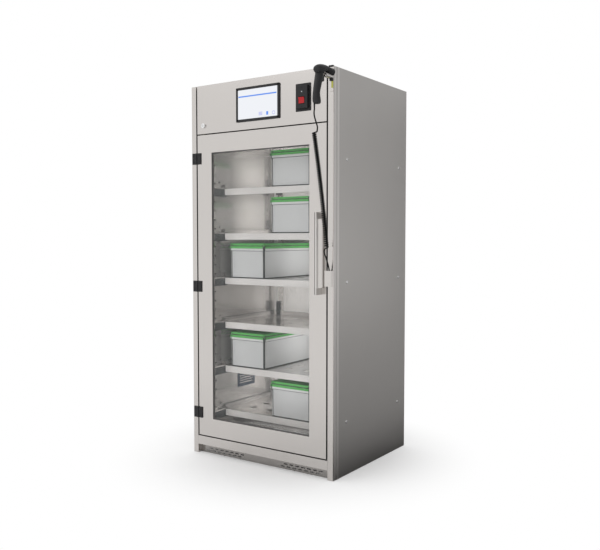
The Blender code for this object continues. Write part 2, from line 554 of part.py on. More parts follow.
# Cord: a plain tail from the grip, a long curl, and a tail into the cable box
TAIL_STOPS = [(RELIEF_X, RELIEF_DEPTH, RELIEF_FOOT - SEAT), (RELIEF_X, RELIEF_DEPTH, RELIEF_FOOT - 0.004),
              (SCANNER_X - 0.0080, -0.1280, RELIEF_FOOT - 0.015),
              (SCANNER_X - 0.0075, -0.1280, RELIEF_FOOT - 0.029),
              (SCANNER_X - 0.0025, -0.1270, RELIEF_FOOT - 0.051),
              (SCANNER_X + 0.0040, -0.1255, RELIEF_FOOT - 0.073),
              (SCANNER_X + 0.0080, -0.1240, RELIEF_FOOT - 0.092),
              (SCANNER_X + 0.0060, -0.1225, RELIEF_FOOT - 0.107)]
COIL_TOP = Vector((SCANNER_X - 0.0070, -0.1315, RELIEF_FOOT - 0.118))
COIL_FOOT = Vector((SCANNER_X - 0.0060, -0.0350, BOX_Z[1] + 0.114))
COIL_BOW = Vector((0, -0.006, 0))


def coil_points():
    """Points of the curl about a slightly bowed axis, with straight ends one tube diameter long."""
    axis = (COIL_FOOT - COIL_TOP).normalized()
    across = axis.cross(Vector((0, 1, 0))).normalized()
    other = axis.cross(across)
    steps = COIL_TURNS * COIL_STEPS
    points = []
    for step in range(steps + 1):
        part = step / steps
        turn = 2 * math.pi * step / COIL_STEPS
        centre = COIL_TOP.lerp(COIL_FOOT, part) + COIL_BOW * (4 * part * (1 - part))
        points.append(centre + (across * math.cos(turn) + other * math.sin(turn)) * COIL_RADIUS)
    lead = (points[0] - points[1]).normalized() * 2 * CORD_RADIUS
    tail = (points[-1] - points[-2]).normalized() * 2 * CORD_RADIUS
    return [points[0] + lead] + points + [points[-1] + tail]


curl = coil_points()
TURN_SKIP = COIL_STEPS // 2
least = min((curl[i] - curl[j]).length for i in range(len(curl))
            for j in range(i + TURN_SKIP, min(i + 3 * COIL_STEPS, len(curl))))
print("curly cord least gap to itself, mm:", round((least - 2 * CORD_RADIUS) * 1000, 2))
tube("curly_cord", curl, CORD_RADIUS, 1)
upper_join = curl[0] + (curl[0] - curl[1]).normalized() * SEAT
upper_lead = upper_join + (curl[0] - curl[1]).normalized() * 3 * CORD_RADIUS
tube("cord_upper_tail", smooth_route(TAIL_STOPS + [upper_lead, upper_join], 3), CORD_RADIUS, 2)
lower_join = curl[-1] + (curl[-1] - curl[-2]).normalized() * SEAT
lower_lead = lower_join + (curl[-1] - curl[-2]).normalized() * 3 * CORD_RADIUS
ENTRY_X, ENTRY_DEPTH = SCANNER_X - 0.0050, -0.0125
MOUTH = BOX_Z[1]
LOW_STOPS = [(ENTRY_X + 0.0020, -0.0480, MOUTH + 0.108), (ENTRY_X - 0.0070, -0.0460, MOUTH + 0.097),
             (ENTRY_X - 0.0074, -0.0420, MOUTH + 0.080), (ENTRY_X - 0.0034, -0.0360, MOUTH + 0.064),
             (ENTRY_X - 0.0011, -0.0280, MOUTH + 0.042), (ENTRY_X, -0.0175, MOUTH + 0.018),
             (ENTRY_X, ENTRY_DEPTH, MOUTH), (ENTRY_X, ENTRY_DEPTH, MOUTH - 0.023),
             (ENTRY_X, ENTRY_DEPTH, MOUTH - 0.048)]
tube("cord_lower_tail", smooth_route([lower_join, lower_lead] + LOW_STOPS, 3), CORD_RADIUS, 2)

# Door hinges on the left gap; the pins stay with the post leaves
HINGE_X, HINGE_DEPTH = -(DOOR_HALF + POST_INNER) / 2, -0.005
DOOR_AXIS = place(HINGE_X, HINGE_DEPTH, 0)
HINGE_INSET, HINGE_MIDDLE_LIFT = 0.125, 0.0015
HINGE_HEIGHTS = (DOOR_TOP - HINGE_INSET, middle((DOOR_BOTTOM, DOOR_TOP)) + HINGE_MIDDLE_LIFT,
                 DOOR_BOTTOM + HINGE_INSET)
HINGE_HALF, LEAF, LEAF_REACH = 0.030, 0.005, 0.030
KNUCKLE_RADIUS, PIN_RADIUS, BORE_RADIUS = 0.0045, 0.0020, 0.00215
KNUCKLE_SPLIT, KNUCKLE_ROOM, LEAF_GAP = 0.010, 0.001, 0.001
leaf_depth = (-SEAT - LEAF, -SEAT)
ROOM_DEPTH = (-0.012, 0.001)
moving_leaves = []
for number, z in enumerate(HINGE_HEIGHTS, start=1):
    core = (HINGE_X, HINGE_DEPTH)
    leaf_z = around(z, HINGE_HALF)
    fixed = box(f"hinge_post_leaf_{number}", (HINGE_X - LEAF_REACH, HINGE_X - LEAF_GAP), leaf_depth, leaf_z)
    moving = box(f"hinge_door_leaf_{number}", (HINGE_X + LEAF_GAP, HINGE_X + LEAF_REACH), leaf_depth, leaf_z)
    outer_knuckles = []
    outer_rooms = []
    for sign in (-1, 1):
        outer_knuckles.append(((*core, z + sign * (KNUCKLE_SPLIT + SEAT)), (*core, z + sign * HINGE_HALF)))
        ends = sorted((z + sign * (KNUCKLE_SPLIT - SEAT), z + sign * (HINGE_HALF + SHEET)))
        outer_rooms.append(((HINGE_X - KNUCKLE_RADIUS - KNUCKLE_ROOM, HINGE_X), ROOM_DEPTH, ends))
    cut(fixed, boxes(f"post_leaf_room_{number}", outer_rooms, CUTTERS))
    join(fixed, rods(f"post_knuckle_{number}", [((*core, z - KNUCKLE_SPLIT), (*core, z + KNUCKLE_SPLIT))],
                     KNUCKLE_RADIUS, 10, CUTTERS),
         rods(f"hinge_pin_{number}", [((*core, leaf_z[0]), (*core, leaf_z[1]))], PIN_RADIUS, 12, CUTTERS))
    cut(moving, box(f"door_leaf_room_{number}", (HINGE_X, HINGE_X + KNUCKLE_RADIUS + KNUCKLE_ROOM), ROOM_DEPTH,
                    around(z, KNUCKLE_SPLIT + SEAT), CUTTERS))
    join(moving, rods(f"door_knuckles_{number}", outer_knuckles, KNUCKLE_RADIUS, 10, CUTTERS))
    cut(moving, rods(f"knuckle_bore_{number}", [((*core, leaf_z[0] - SHEET), (*core, leaf_z[1] + SHEET))],
                     BORE_RADIUS, 12, CUTTERS))
    moving_leaves.append(moving)

# Door: a folded hollow frame, glass in a black seal, gasket, pull handle and armature plate
door_x, door_z = (-DOOR_HALF, DOOR_HALF), (DOOR_BOTTOM, DOOR_TOP)
glass_x, glass_z = (-GLASS_HALF, GLASS_HALF), (GLASS_BOTTOM, GLASS_TOP)
door = box("door_frame", door_x, (0, DOOR_THICK), door_z)
hollow = box("door_hollow", inset(door_x, SHEET), (SHEET, DOOR_THICK - SHEET), inset(door_z, SHEET), CUTTERS)
THROUGH_DOOR = (-DOOR_THICK, 2 * DOOR_THICK)
cut(hollow, box("door_hollow_core", inset(glass_x, -SHEET), THROUGH_DOOR, inset(glass_z, -SHEET), CUTTERS))
BACK_SLOT_X = (GLASS_HALF + 0.022, DOOR_HALF - 0.026)
back_slots = [(sided(side, BACK_SLOT_X), (DOOR_THICK / 2, DOOR_THICK + SHEET), glass_z) for side in (-1, 1)]
cut(door, box("door_window", glass_x, THROUGH_DOOR, glass_z, CUTTERS), hollow,
    boxes("door_back_slots", back_slots, CUTTERS))

SEAL_WIDTH, SEAL_LIP, SEAL_DEPTH, GLASS_DEPTH = 0.0035, 0.003, (0.003, 0.028), (0.014, 0.020)
seal_x, seal_z = inset(glass_x, SEAT), inset(glass_z, SEAT)
seal = box("glass_seal", seal_x, SEAL_DEPTH, seal_z)
seal_open = SEAL_WIDTH + SEAL_LIP
cut(seal, box("seal_window", inset(seal_x, seal_open), THROUGH_DOOR, inset(seal_z, seal_open), CUTTERS),
    box("seal_channel", inset(seal_x, SEAL_WIDTH), inset(GLASS_DEPTH, -SEAT), inset(seal_z, SEAL_WIDTH),
        CUTTERS))
glass = box("door_glass", inset(seal_x, SEAL_WIDTH + SEAT), GLASS_DEPTH, inset(seal_z, SEAL_WIDTH + SEAT))

GASKET_DEPTH, GASKET_EDGE, GASKET_WIDE = (DOOR_THICK + SEAT, STOP_DEPTH - SEAT), 0.002, 0.015
gasket = box("door_gasket", inset(door_x, GASKET_EDGE), GASKET_DEPTH, inset(door_z, GASKET_EDGE))
gasket_open = GASKET_EDGE + GASKET_WIDE
cut(gasket, box("gasket_window", inset(door_x, gasket_open), THROUGH_DOOR, inset(door_z, gasket_open), CUTTERS))

HANDLE_INSET, HANDLE_WIDE, HANDLE_Z, HANDLE_PROUD = 0.024, 0.011, (0.915, 1.309), 0.044
HANDLE_X = (DOOR_HALF - HANDLE_INSET - HANDLE_WIDE, DOOR_HALF - HANDLE_INSET)
GRIP_THICK, HANDLE_BLOCK = 0.017, 0.032
handle = prism("door_handle", [
    (-SEAT, HANDLE_Z[0]), (-HANDLE_PROUD, HANDLE_Z[0]), (-HANDLE_PROUD, HANDLE_Z[1]), (-SEAT, HANDLE_Z[1]),
    (-SEAT, HANDLE_Z[1] - HANDLE_BLOCK), (-HANDLE_PROUD + GRIP_THICK, HANDLE_Z[1] - HANDLE_BLOCK),
    (-HANDLE_PROUD + GRIP_THICK, HANDLE_Z[0] + HANDLE_BLOCK), (-SEAT, HANDLE_Z[0] + HANDLE_BLOCK)],
    SIDEWAYS, HANDLE_X)
soften(handle, 0.003, 2)

ARMATURE_INSET, ARMATURE_WIDE, ARMATURE_DROP = 0.069, 0.130, 0.004
ARMATURE_TALL, ARMATURE_THICK = 0.032, 0.007
ARMATURE_X = (DOOR_HALF - ARMATURE_INSET - ARMATURE_WIDE, DOOR_HALF - ARMATURE_INSET)
ARMATURE_Z = (CHAMBER_CEILING - ARMATURE_DROP - ARMATURE_TALL, CHAMBER_CEILING - ARMATURE_DROP)
ARMATURE_BACK = DOOR_THICK + ARMATURE_THICK
armature = box("armature_plate", ARMATURE_X, (DOOR_THICK + SEAT, ARMATURE_BACK), ARMATURE_Z)
soften(armature, 0.001, 1)
MAGNET_OVER, MAGNET_DEEP, MAGNET_FOOT = 0.008, 0.027, ARMATURE_Z[0] - ARMATURE_DROP
magnet_depth = (ARMATURE_BACK + SEAT, ARMATURE_BACK + MAGNET_DEEP)
magnet = box("lock_magnet", inset(ARMATURE_X, -MAGNET_OVER), magnet_depth,
             (MAGNET_FOOT, CHAMBER_CEILING - SEAT))
soften(magnet, 0.001, 1)

for piece in [door, glass, seal, gasket, handle, armature] + moving_leaves:
    put_origin(piece, DOOR_AXIS)

# Fascia flap: folded sheet that lifts about pivots near its top edge
FASCIA_AXIS_DEPTH, FASCIA_AXIS_Z = 0.010, HEIGHT - 0.010
FASCIA_AXIS = place(0, FASCIA_AXIS_DEPTH, FASCIA_AXIS_Z)
FASCIA_FOLD, PIVOT_RADIUS = 0.018, 0.003
fascia_z = (FASCIA_BOTTOM, HEIGHT)
fascia = box("fascia_panel", door_x, (0, FASCIA_FOLD), fascia_z)
cut(fascia, box("fascia_hollow", inset(door_x, SHEET), (SHEET, 2 * FASCIA_FOLD), inset(fascia_z, SHEET),
                CUTTERS))
pivots = [((side * (DOOR_HALF - SHEET / 2), FASCIA_AXIS_DEPTH, FASCIA_AXIS_Z),
           (side * (POST_INNER - SEAT), FASCIA_AXIS_DEPTH, FASCIA_AXIS_Z)) for side in (-1, 1)]
join(fascia, rods("fascia_pivots", pivots, PIVOT_RADIUS, 12, CUTTERS))

SCREEN_HALF, SCREEN_DROP, SCREEN_TALL, BEZEL, BEZEL_PROUD = 0.139, 0.042, 0.175, 0.013, 0.006
SCREEN_X, SCREEN_Z = around(0, SCREEN_HALF), (HEIGHT - SCREEN_DROP - SCREEN_TALL, HEIGHT - SCREEN_DROP)
BACK_INSET, BACK_DEEP, SCREEN_POCKET, SCREEN_SINK, HOLE_INSET = 0.012, 0.030, 0.0025, 0.0002, 0.0115
display = box("display_housing", SCREEN_X, (-BEZEL_PROUD, -SEAT), SCREEN_Z)
soften(display, 0.002, 2)
join(display, box("display_back", inset(SCREEN_X, BACK_INSET), (-BEZEL_PROUD / 2, BACK_DEEP),
                  inset(SCREEN_Z, BACK_INSET), CUTTERS))
pocket_floor = -BEZEL_PROUD + SCREEN_POCKET
cut(display, box("screen_pocket", inset(SCREEN_X, BEZEL), (-2 * BEZEL_PROUD, pocket_floor),
                 inset(SCREEN_Z, BEZEL), CUTTERS))
screen = box("display_glass", inset(SCREEN_X, BEZEL + SEAT), (-BEZEL_PROUD + SCREEN_SINK, pocket_floor - SEAT),
             inset(SCREEN_Z, BEZEL + SEAT))

PLATE_INSET, PLATE_WIDE, PLATE_DROP, PLATE_TALL = 0.090, 0.088, 0.063, 0.134
PLATE_THICK, BLOCK_PROUD = 0.003, 0.018
PLATE_X = (DOOR_HALF - PLATE_INSET - PLATE_WIDE, DOOR_HALF - PLATE_INSET)
PLATE_Z = (HEIGHT - PLATE_DROP - PLATE_TALL, HEIGHT - PLATE_DROP)
BLOCK_INSET_X, BLOCK_INSET_Z = 0.010, 0.012
PLATE_HOLE_INSET, PLATE_HOLE_RADIUS, PLATE_HOLE_DEEP = 0.021, 0.0025, 0.003
LAMP_SIDE, LAMP_DROP, LAMP_RADIUS, LAMP_PROUD = 0.001, 0.042, 0.003, 0.0012
LAMP_X, LAMP_Z = middle(PLATE_X) + LAMP_SIDE, PLATE_Z[1] - LAMP_DROP
ROCKER_HALF, ROCKER_DROP, ROCKER_ROOM, ROCKER_ROOM_DEPTH = 0.016, 0.083, 0.0165, (-0.030, -0.006)
ROCKER_X, ROCKER_MID = around(middle(PLATE_X), ROCKER_HALF), (-0.0160, PLATE_Z[1] - ROCKER_DROP)
plate = box("switch_plate", PLATE_X, (-PLATE_THICK - SEAT, -SEAT), PLATE_Z)
block = box("switch_block", inset(PLATE_X, BLOCK_INSET_X), (-BLOCK_PROUD, -SEAT - PLATE_THICK / 2),
            inset(PLATE_Z, BLOCK_INSET_Z), CUTTERS)
soften(block, 0.003, 2)
join(plate, block)
hole_depth = (-BLOCK_PROUD - SHEET, -BLOCK_PROUD + PLATE_HOLE_DEEP)
plate_holes = [[(middle(PLATE_X), depth, z) for depth in hole_depth] for z in inset(PLATE_Z, PLATE_HOLE_INSET)]
cut(plate,
    box("rocker_room", inset(ROCKER_X, -SEAT), ROCKER_ROOM_DEPTH, around(ROCKER_MID[1], ROCKER_ROOM), CUTTERS),
    rods("plate_holes", plate_holes, PLATE_HOLE_RADIUS, 8, CUTTERS))
lamp_run = [(LAMP_X, depth, LAMP_Z) for depth in (-BLOCK_PROUD + SHEET, -BLOCK_PROUD - LAMP_PROUD)]
join(plate, rods("status_lamp", [lamp_run], LAMP_RADIUS, 10, CUTTERS))

ROCKER_TILT = math.radians(8)
ROCKER_TIP, ROCKER_DIP, ROCKER_ROOT = (-0.0055, 0.0150), -0.0025, (0.0060, 0.0125)
rocker_outline = []
for across, up in ((ROCKER_TIP[0], -ROCKER_TIP[1]), (ROCKER_DIP, 0), ROCKER_TIP, ROCKER_ROOT,
                   (ROCKER_ROOT[0], -ROCKER_ROOT[1])):
    turned = (across * math.cos(ROCKER_TILT) - up * math.sin(ROCKER_TILT),
              across * math.sin(ROCKER_TILT) + up * math.cos(ROCKER_TILT))
    rocker_outline.append((ROCKER_MID[0] + turned[0], ROCKER_MID[1] + turned[1]))
rocker = prism("rocker_switch", rocker_outline, SIDEWAYS, ROCKER_X)
put_origin(rocker, place(middle(ROCKER_X), *ROCKER_MID))

# Cam lock low on the left of the fascia: barrel with a keyway, and the cam behind it
LOCK_INSET, LOCK_LIFT = 0.046, 0.043
LOCK_X, LOCK_Z = LOCK_INSET - DOOR_HALF, FASCIA_BOTTOM + LOCK_LIFT
LOCK_RADIUS, LOCK_PROUD, BARREL_RADIUS = 0.013, 0.008, 0.009
BARREL_BACK, CAM_BACK, CAM_HALF, CAM_REACH = 0.022, 0.0255, 0.007, 0.038
KEYWAY_HALF_WIDE, KEYWAY_HALF_TALL, KEYWAY_DEEP = 0.001, 0.005, 0.003
lock_shape = bmesh.new()
add_rod(lock_shape, (LOCK_X, -SEAT, LOCK_Z), (LOCK_X, -LOCK_PROUD, LOCK_Z), LOCK_RADIUS, 16)
barrel = finish_mesh("lock_barrel", lock_shape, PARTS)
soften(barrel, 0.0015, 1)
barrel_run = [(LOCK_X, depth, LOCK_Z) for depth in (-LOCK_PROUD / 2, BARREL_BACK)]
join(barrel, rods("barrel_body", [barrel_run], BARREL_RADIUS, 16, CUTTERS))
cut(barrel, box("keyway", around(LOCK_X, KEYWAY_HALF_WIDE), (-LOCK_PROUD - SHEET, -LOCK_PROUD + KEYWAY_DEEP),
                around(LOCK_Z, KEYWAY_HALF_TALL), CUTTERS))
cam_depth = (BARREL_BACK + SEAT, CAM_BACK)
cam = rods("lock_cam", [[(LOCK_X, depth, LOCK_Z) for depth in cam_depth]], BARREL_RADIUS, 16)
join(cam, box("cam_tongue", around(LOCK_X, CAM_HALF), cam_depth, (LOCK_Z, LOCK_Z + CAM_REACH), CUTTERS))
put_origin(cam, place(LOCK_X, middle(cam_depth), LOCK_Z))

THROUGH_FASCIA = (-FASCIA_FOLD / 2, FASCIA_FOLD / 2)
lock_hole = [(LOCK_X, depth, LOCK_Z) for depth in THROUGH_FASCIA]
cut(fascia,
    box("fascia_screen_hole", inset(SCREEN_X, HOLE_INSET), THROUGH_FASCIA, inset(SCREEN_Z, HOLE_INSET),
        CUTTERS),
    rods("fascia_lock_hole", [lock_hole], BARREL_RADIUS + SEAT, 16, CUTTERS))
for piece in (fascia, display, screen, plate, barrel):
    put_origin(piece, FASCIA_AXIS)

# Materials: colour, roughness and metal share, one material per piece
STEEL = ((0.60, 0.58, 0.56), 0.38, 0.9)
INNER = ((0.56, 0.54, 0.52), 0.30, 0.9)
BLACK = ((0.025, 0.025, 0.025), 0.45, 0.0)
BIN_GREY = ((0.52, 0.52, 0.52), 0.40, 0.0)
LID_GREEN = ((0.15, 0.33, 0.15), 0.40, 0.0)
ROCKER_RED = ((0.45, 0.03, 0.04), 0.35, 0.0)
GRILLE_BLUE = ((0.14, 0.16, 0.20), 0.50, 0.0)
CLEAR_GLASS = ((0.90, 0.95, 0.93), 0.03, 0.0)
SCREEN_WHITE = ((0.82, 0.85, 0.90), 0.15, 0.0)
MAGNET_GREY = ((0.30, 0.30, 0.31), 0.50, 0.8)
LOOKS = {"rocker": ROCKER_RED, "door_glass": CLEAR_GLASS, "display_glass": SCREEN_WHITE, "bin_lid": LID_GREEN,
         "bin_": BIN_GREY, "scanner_holder": STEEL, "scanner": BLACK, "cord": BLACK, "hinge": BLACK,
         "seal": BLACK, "gasket": BLACK, "display_housing": BLACK, "switch": BLACK,
         "grille": GRILLE_BLUE, "magnet": MAGNET_GREY, "shelf_": INNER,
         "chamber": INNER, "inner_wall": INNER, "upright": INNER}


def look_of(name):
    """The first look whose key is in the name; plain steel where there is none."""
    for key, look in LOOKS.items():
        if key in name:
            return look
    return STEEL


for piece in PARTS.objects:
    colour, roughness, metal = look_of(piece.name)
    finish = bpy.data.materials.new(piece.name)
    finish.use_nodes = True
    shader = finish.node_tree.nodes["Principled BSDF"]
    shader.inputs["Base Color"].default_value = (*colour, 1)
    shader.inputs["Roughness"].default_value = roughness
    shader.inputs["Metallic"].default_value = metal
    piece.data.materials.clear()
    piece.data.materials.append(finish)
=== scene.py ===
"""Looks of the sterile storage cabinet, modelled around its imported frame.

Metres, +Z up, front towards -Y. Depths are measured from the front plane of the posts and door, into the
cabinet.
"""
import json
import math
from contextlib import contextmanager

import bmesh
import bpy
from mathutils import Matrix, Vector


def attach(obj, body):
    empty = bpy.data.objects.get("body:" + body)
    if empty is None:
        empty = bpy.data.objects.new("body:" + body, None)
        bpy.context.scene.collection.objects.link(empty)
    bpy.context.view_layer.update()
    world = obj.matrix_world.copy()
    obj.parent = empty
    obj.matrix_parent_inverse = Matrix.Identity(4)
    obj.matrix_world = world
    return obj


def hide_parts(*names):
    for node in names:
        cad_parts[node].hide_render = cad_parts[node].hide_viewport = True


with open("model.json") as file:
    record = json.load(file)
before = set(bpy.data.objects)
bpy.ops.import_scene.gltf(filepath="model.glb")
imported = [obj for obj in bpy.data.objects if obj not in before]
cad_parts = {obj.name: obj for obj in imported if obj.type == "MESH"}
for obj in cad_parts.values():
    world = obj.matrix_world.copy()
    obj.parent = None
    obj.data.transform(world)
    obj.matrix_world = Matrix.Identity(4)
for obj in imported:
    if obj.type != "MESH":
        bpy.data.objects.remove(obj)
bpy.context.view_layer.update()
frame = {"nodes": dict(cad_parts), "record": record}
NODES = frame["nodes"]

# Sizes shared with the part: SHEET is the thickness of its steel, SEAT the gap between seated pieces
WIDTH, DEPTH, HEIGHT, SHEET, SEAT = 0.912, 0.765, 2.000, 0.002, 0.0003
SCANNER_REACH = 0.135
FRONT = (SCANNER_REACH - DEPTH) / 2
SCANNER_X = 0.443


def place(x, depth, z):
    """Point of the frame, from its depth behind the front plane."""
    return Vector((x, FRONT + depth, z))


def middle(span):
    return (span[0] + span[1]) / 2


def length(span):
    return abs(span[1] - span[0])


def inset(span, by):
    """A span made shorter at both ends."""
    return (span[0] + by, span[1] - by)


def around(centre, half):
    return (centre - half, centre + half)


# Camera at the photograph's viewpoint
CAMERA_PLACE = Vector((2.3277, -3.3289, 1.1887))
CAMERA_RIGHT = Vector((0.82456, 0.56577, 0.0))
CAMERA_UP = Vector((-0.02892, 0.04210, 0.99869))
FOCAL_LENGTH, SENSOR_WIDTH = 44.36, 36
camera = bpy.data.objects.new("camera", bpy.data.cameras.new("camera"))
bpy.context.scene.collection.objects.link(camera)
camera.data.lens = FOCAL_LENGTH
camera.data.sensor_width = SENSOR_WIDTH
turn = Matrix((CAMERA_RIGHT, CAMERA_UP, CAMERA_RIGHT.cross(CAMERA_UP))).transposed().to_4x4()
camera.matrix_world = Matrix.Translation(CAMERA_PLACE) @ turn
bpy.context.scene.camera = camera

# Scanner cord: a plain tail, a long curl and a tail into the cable box, on one line
CORD_RADIUS, COIL_RADIUS, COIL_TURNS = 0.0034, 0.0080, 52
RELIEF_X, RELIEF_DEPTH, RELIEF_FOOT = SCANNER_X - 0.0155, -0.127, HEIGHT - 0.216
TAIL_STOPS = [(RELIEF_X, RELIEF_DEPTH, RELIEF_FOOT + 0.006), (RELIEF_X, RELIEF_DEPTH, RELIEF_FOOT - 0.004),
              (SCANNER_X - 0.0165, -0.1280, RELIEF_FOOT - 0.015),
              (SCANNER_X - 0.0160, -0.1280, RELIEF_FOOT - 0.029),
              (SCANNER_X - 0.0110, -0.1270, RELIEF_FOOT - 0.050),
              (SCANNER_X - 0.0045, -0.1255, RELIEF_FOOT - 0.070),
              (SCANNER_X - 0.0005, -0.1240, RELIEF_FOOT - 0.087),
              (SCANNER_X - 0.0025, -0.1225, RELIEF_FOOT - 0.100)]
COIL_TOP = Vector((SCANNER_X - 0.0145, -0.1315, RELIEF_FOOT - 0.111))
COIL_FOOT = Vector((SCANNER_X - 0.0060, -0.0350, 1.142))
COIL_BOW = Vector((0.0080, -0.006, 0))
COIL_STEPS = 16
ENTRY_X, ENTRY_DEPTH = 0.4380, -0.0125
LOW_STOPS = [(0.4400, -0.0480, 1.1360), (0.4310, -0.0460, 1.1250), (0.4306, -0.0420, 1.1080),
             (0.4346, -0.0360, 1.0920), (0.4369, -0.0280, 1.0700), (ENTRY_X, -0.0175, 1.0460),
             (ENTRY_X, ENTRY_DEPTH, 1.0280), (ENTRY_X, ENTRY_DEPTH, 1.0050), (ENTRY_X, ENTRY_DEPTH, 0.9800)]
TAIL_STEPS = 6


def blend(a, b, start, end, t):
    return a * ((end - t) / (end - start)) + b * ((t - start) / (end - start))


def smooth_route(stops, per_span):
    """Centripetal Catmull-Rom points through given stops."""
    stops = [Vector(stop) for stop in stops]
    ends = [stops[0] * 2 - stops[1]] + stops + [stops[-1] * 2 - stops[-2]]
    route = []
    for p0, p1, p2, p3 in zip(ends, ends[1:], ends[2:], ends[3:]):
        k1 = (p1 - p0).length ** 0.5
        k2 = k1 + (p2 - p1).length ** 0.5
        k3 = k2 + (p3 - p2).length ** 0.5
        for step in range(per_span):
            t = k1 + (k2 - k1) * step / per_span
            second = blend(p1, p2, k1, k2, t)
            left = blend(blend(p0, p1, 0, k1, t), second, 0, k2, t)
            right = blend(second, blend(p2, p3, k2, k3, t), k1, k3, t)
            route.append(blend(left, right, k1, k2, t))
    return route + [stops[-1]]


def coil_points():
    """Points of the curl about a slightly bowed axis."""
    axis = (COIL_FOOT - COIL_TOP).normalized()
    across = axis.cross(Vector((0, 1, 0))).normalized()
    other = axis.cross(across)
    steps = COIL_TURNS * COIL_STEPS
    points = []
    for step in range(steps + 1):
        part = step / steps
        angle = 2 * math.pi * step / COIL_STEPS
        centre = COIL_TOP.lerp(COIL_FOOT, part) + COIL_BOW * (4 * part * (1 - part))
        points.append(centre + (across * math.cos(angle) + other * math.sin(angle)) * COIL_RADIUS)
    return points


curl = coil_points()
LEAD = 3 * CORD_RADIUS
upper_lead = curl[0] + (curl[0] - curl[1]).normalized() * LEAD
lower_lead = curl[-1] + (curl[-1] - curl[-2]).normalized() * LEAD
upper_tail = smooth_route(TAIL_STOPS + [upper_lead, curl[0]], TAIL_STEPS)
lower_tail = smooth_route([curl[-1], lower_lead] + LOW_STOPS, TAIL_STEPS)
route = [place(*point) for point in upper_tail[:-1] + curl + lower_tail[1:]]
cord_line = bpy.data.curves.new("scanner_cord", "CURVE")
cord_line.dimensions = "3D"
cord_line.bevel_depth = 1
cord_line.bevel_resolution = 4
cord_line.use_fill_caps = True
spline = cord_line.splines.new("POLY")
spline.points.add(len(route) - 1)
# The points carry the cord's radius, because a curve's box is as much wider than its line as they say
for point, where in zip(spline.points, route):
    point.co = (*where, 1)
    point.radius = CORD_RADIUS
spline.use_smooth = True
scanner_cord = bpy.data.objects.new("scanner_cord", cord_line)
bpy.context.scene.collection.objects.link(scanner_cord)
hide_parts("cord_upper_tail", "curly_cord", "cord_lower_tail")
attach(scanner_cord, "cabinet")


# Finishes: shared grain and skin groups, then one material per finish
SURFACE_INPUTS = ("Low Shade", "High Shade", "Low Roughness", "High Roughness")
SURFACE_OUTPUTS = ("Shade", "Roughness", "Height")
SHADE_RANGE, BUMP_REACH, MARKS_SHARE = (0.96, 1.04), 0.0002, 0.55
# Where a Mix node has the sockets of its two colours and its result
MIX_A, MIX_B, MIX_RESULT = 6, 7, 2


def surface_group(name):
    """An empty shader group from the two ranges of a finish to its shade, roughness and height."""
    group = bpy.data.node_groups.new(name, "ShaderNodeTree")
    for way, labels in (("INPUT", SURFACE_INPUTS), ("OUTPUT", SURFACE_OUTPUTS)):
        for label in labels:
            group.interface.new_socket(label, in_out=way, socket_type="NodeSocketFloat")
    return group, group.nodes.new("NodeGroupInput"), group.nodes.new("NodeGroupOutput")


def add_node(tree, kind, **settings):
    """Add a node and set its own properties."""
    made = tree.nodes.new(kind)
    for key, value in settings.items():
        setattr(made, key, value)
    return made


def set_input(made, label, value):
    made.inputs[label].default_value = value


def stretched_noise(tree, stretch, scale, detail):
    """Noise on object coordinates, drawn out along the axes by the stretch."""
    where = add_node(tree, "ShaderNodeTexCoord")
    mapping = add_node(tree, "ShaderNodeMapping")
    set_input(mapping, "Scale", stretch)
    noise = add_node(tree, "ShaderNodeTexNoise")
    set_input(noise, "Scale", scale)
    set_input(noise, "Detail", detail)
    tree.links.new(where.outputs["Object"], mapping.inputs["Vector"])
    tree.links.new(mapping.outputs["Vector"], noise.inputs["Vector"])
    return noise


def to_range(tree, source, low, high):
    """Map a 0 to 1 value onto the range between two sockets."""
    change = add_node(tree, "ShaderNodeMapRange")
    for socket, label in ((source, "Value"), (low, "To Min"), (high, "To Max")):
        tree.links.new(socket, change.inputs[label])
    return change.outputs["Result"]


def ramp(tree, source, sources, results=(0, 1), kind="LINEAR"):
    """Map a span of source values onto a span of results."""
    change = add_node(tree, "ShaderNodeMapRange", interpolation_type=kind)
    for label, value in zip(("From Min", "From Max", "To Min", "To Max"), (*sources, *results)):
        set_input(change, label, value)
    tree.links.new(source, change.inputs["Value"])
    return change.outputs["Result"]


def object_axis(tree, axis):
    """One of a piece's object coordinates."""
    spot = add_node(tree, "ShaderNodeTexCoord")
    axes = add_node(tree, "ShaderNodeSeparateXYZ")
    tree.links.new(spot.outputs["Object"], axes.inputs[0])
    return axes.outputs[axis]


def multiplied(tree, shade):
    """A node that multiplies a colour by a shade."""
    tint = add_node(tree, "ShaderNodeMix", data_type="RGBA", blend_type="MULTIPLY")
    set_input(tint, "Factor", 1.0)
    tree.links.new(shade, tint.inputs[MIX_B])
    return tint


def give_surface(group, given, made, look, height):
    """Put out one value as shade and roughness, each in its range, and another as the height."""
    for label in ("Shade", "Roughness"):
        result = to_range(group, look, given.outputs["Low " + label], given.outputs["High " + label])
        group.links.new(result, made.inputs[label])
    group.links.new(height, made.inputs["Height"])


def brushed_group():
    """Fine upright brush lines with soft handling marks."""
    group, given, made = surface_group("brushed_grain")
    lines = stretched_noise(group, stretch=(1.0, 1.0, 0.02), scale=1400, detail=2)
    marks = stretched_noise(group, stretch=(1.0, 1.0, 0.7), scale=5, detail=4)
    mixed = add_node(group, "ShaderNodeMix")
    set_input(mixed, "Factor", MARKS_SHARE)
    group.links.new(lines.outputs["Fac"], mixed.inputs["A"])
    group.links.new(marks.outputs["Fac"], mixed.inputs["B"])
    give_surface(group, given, made, mixed.outputs["Result"], lines.outputs["Fac"])
    return group


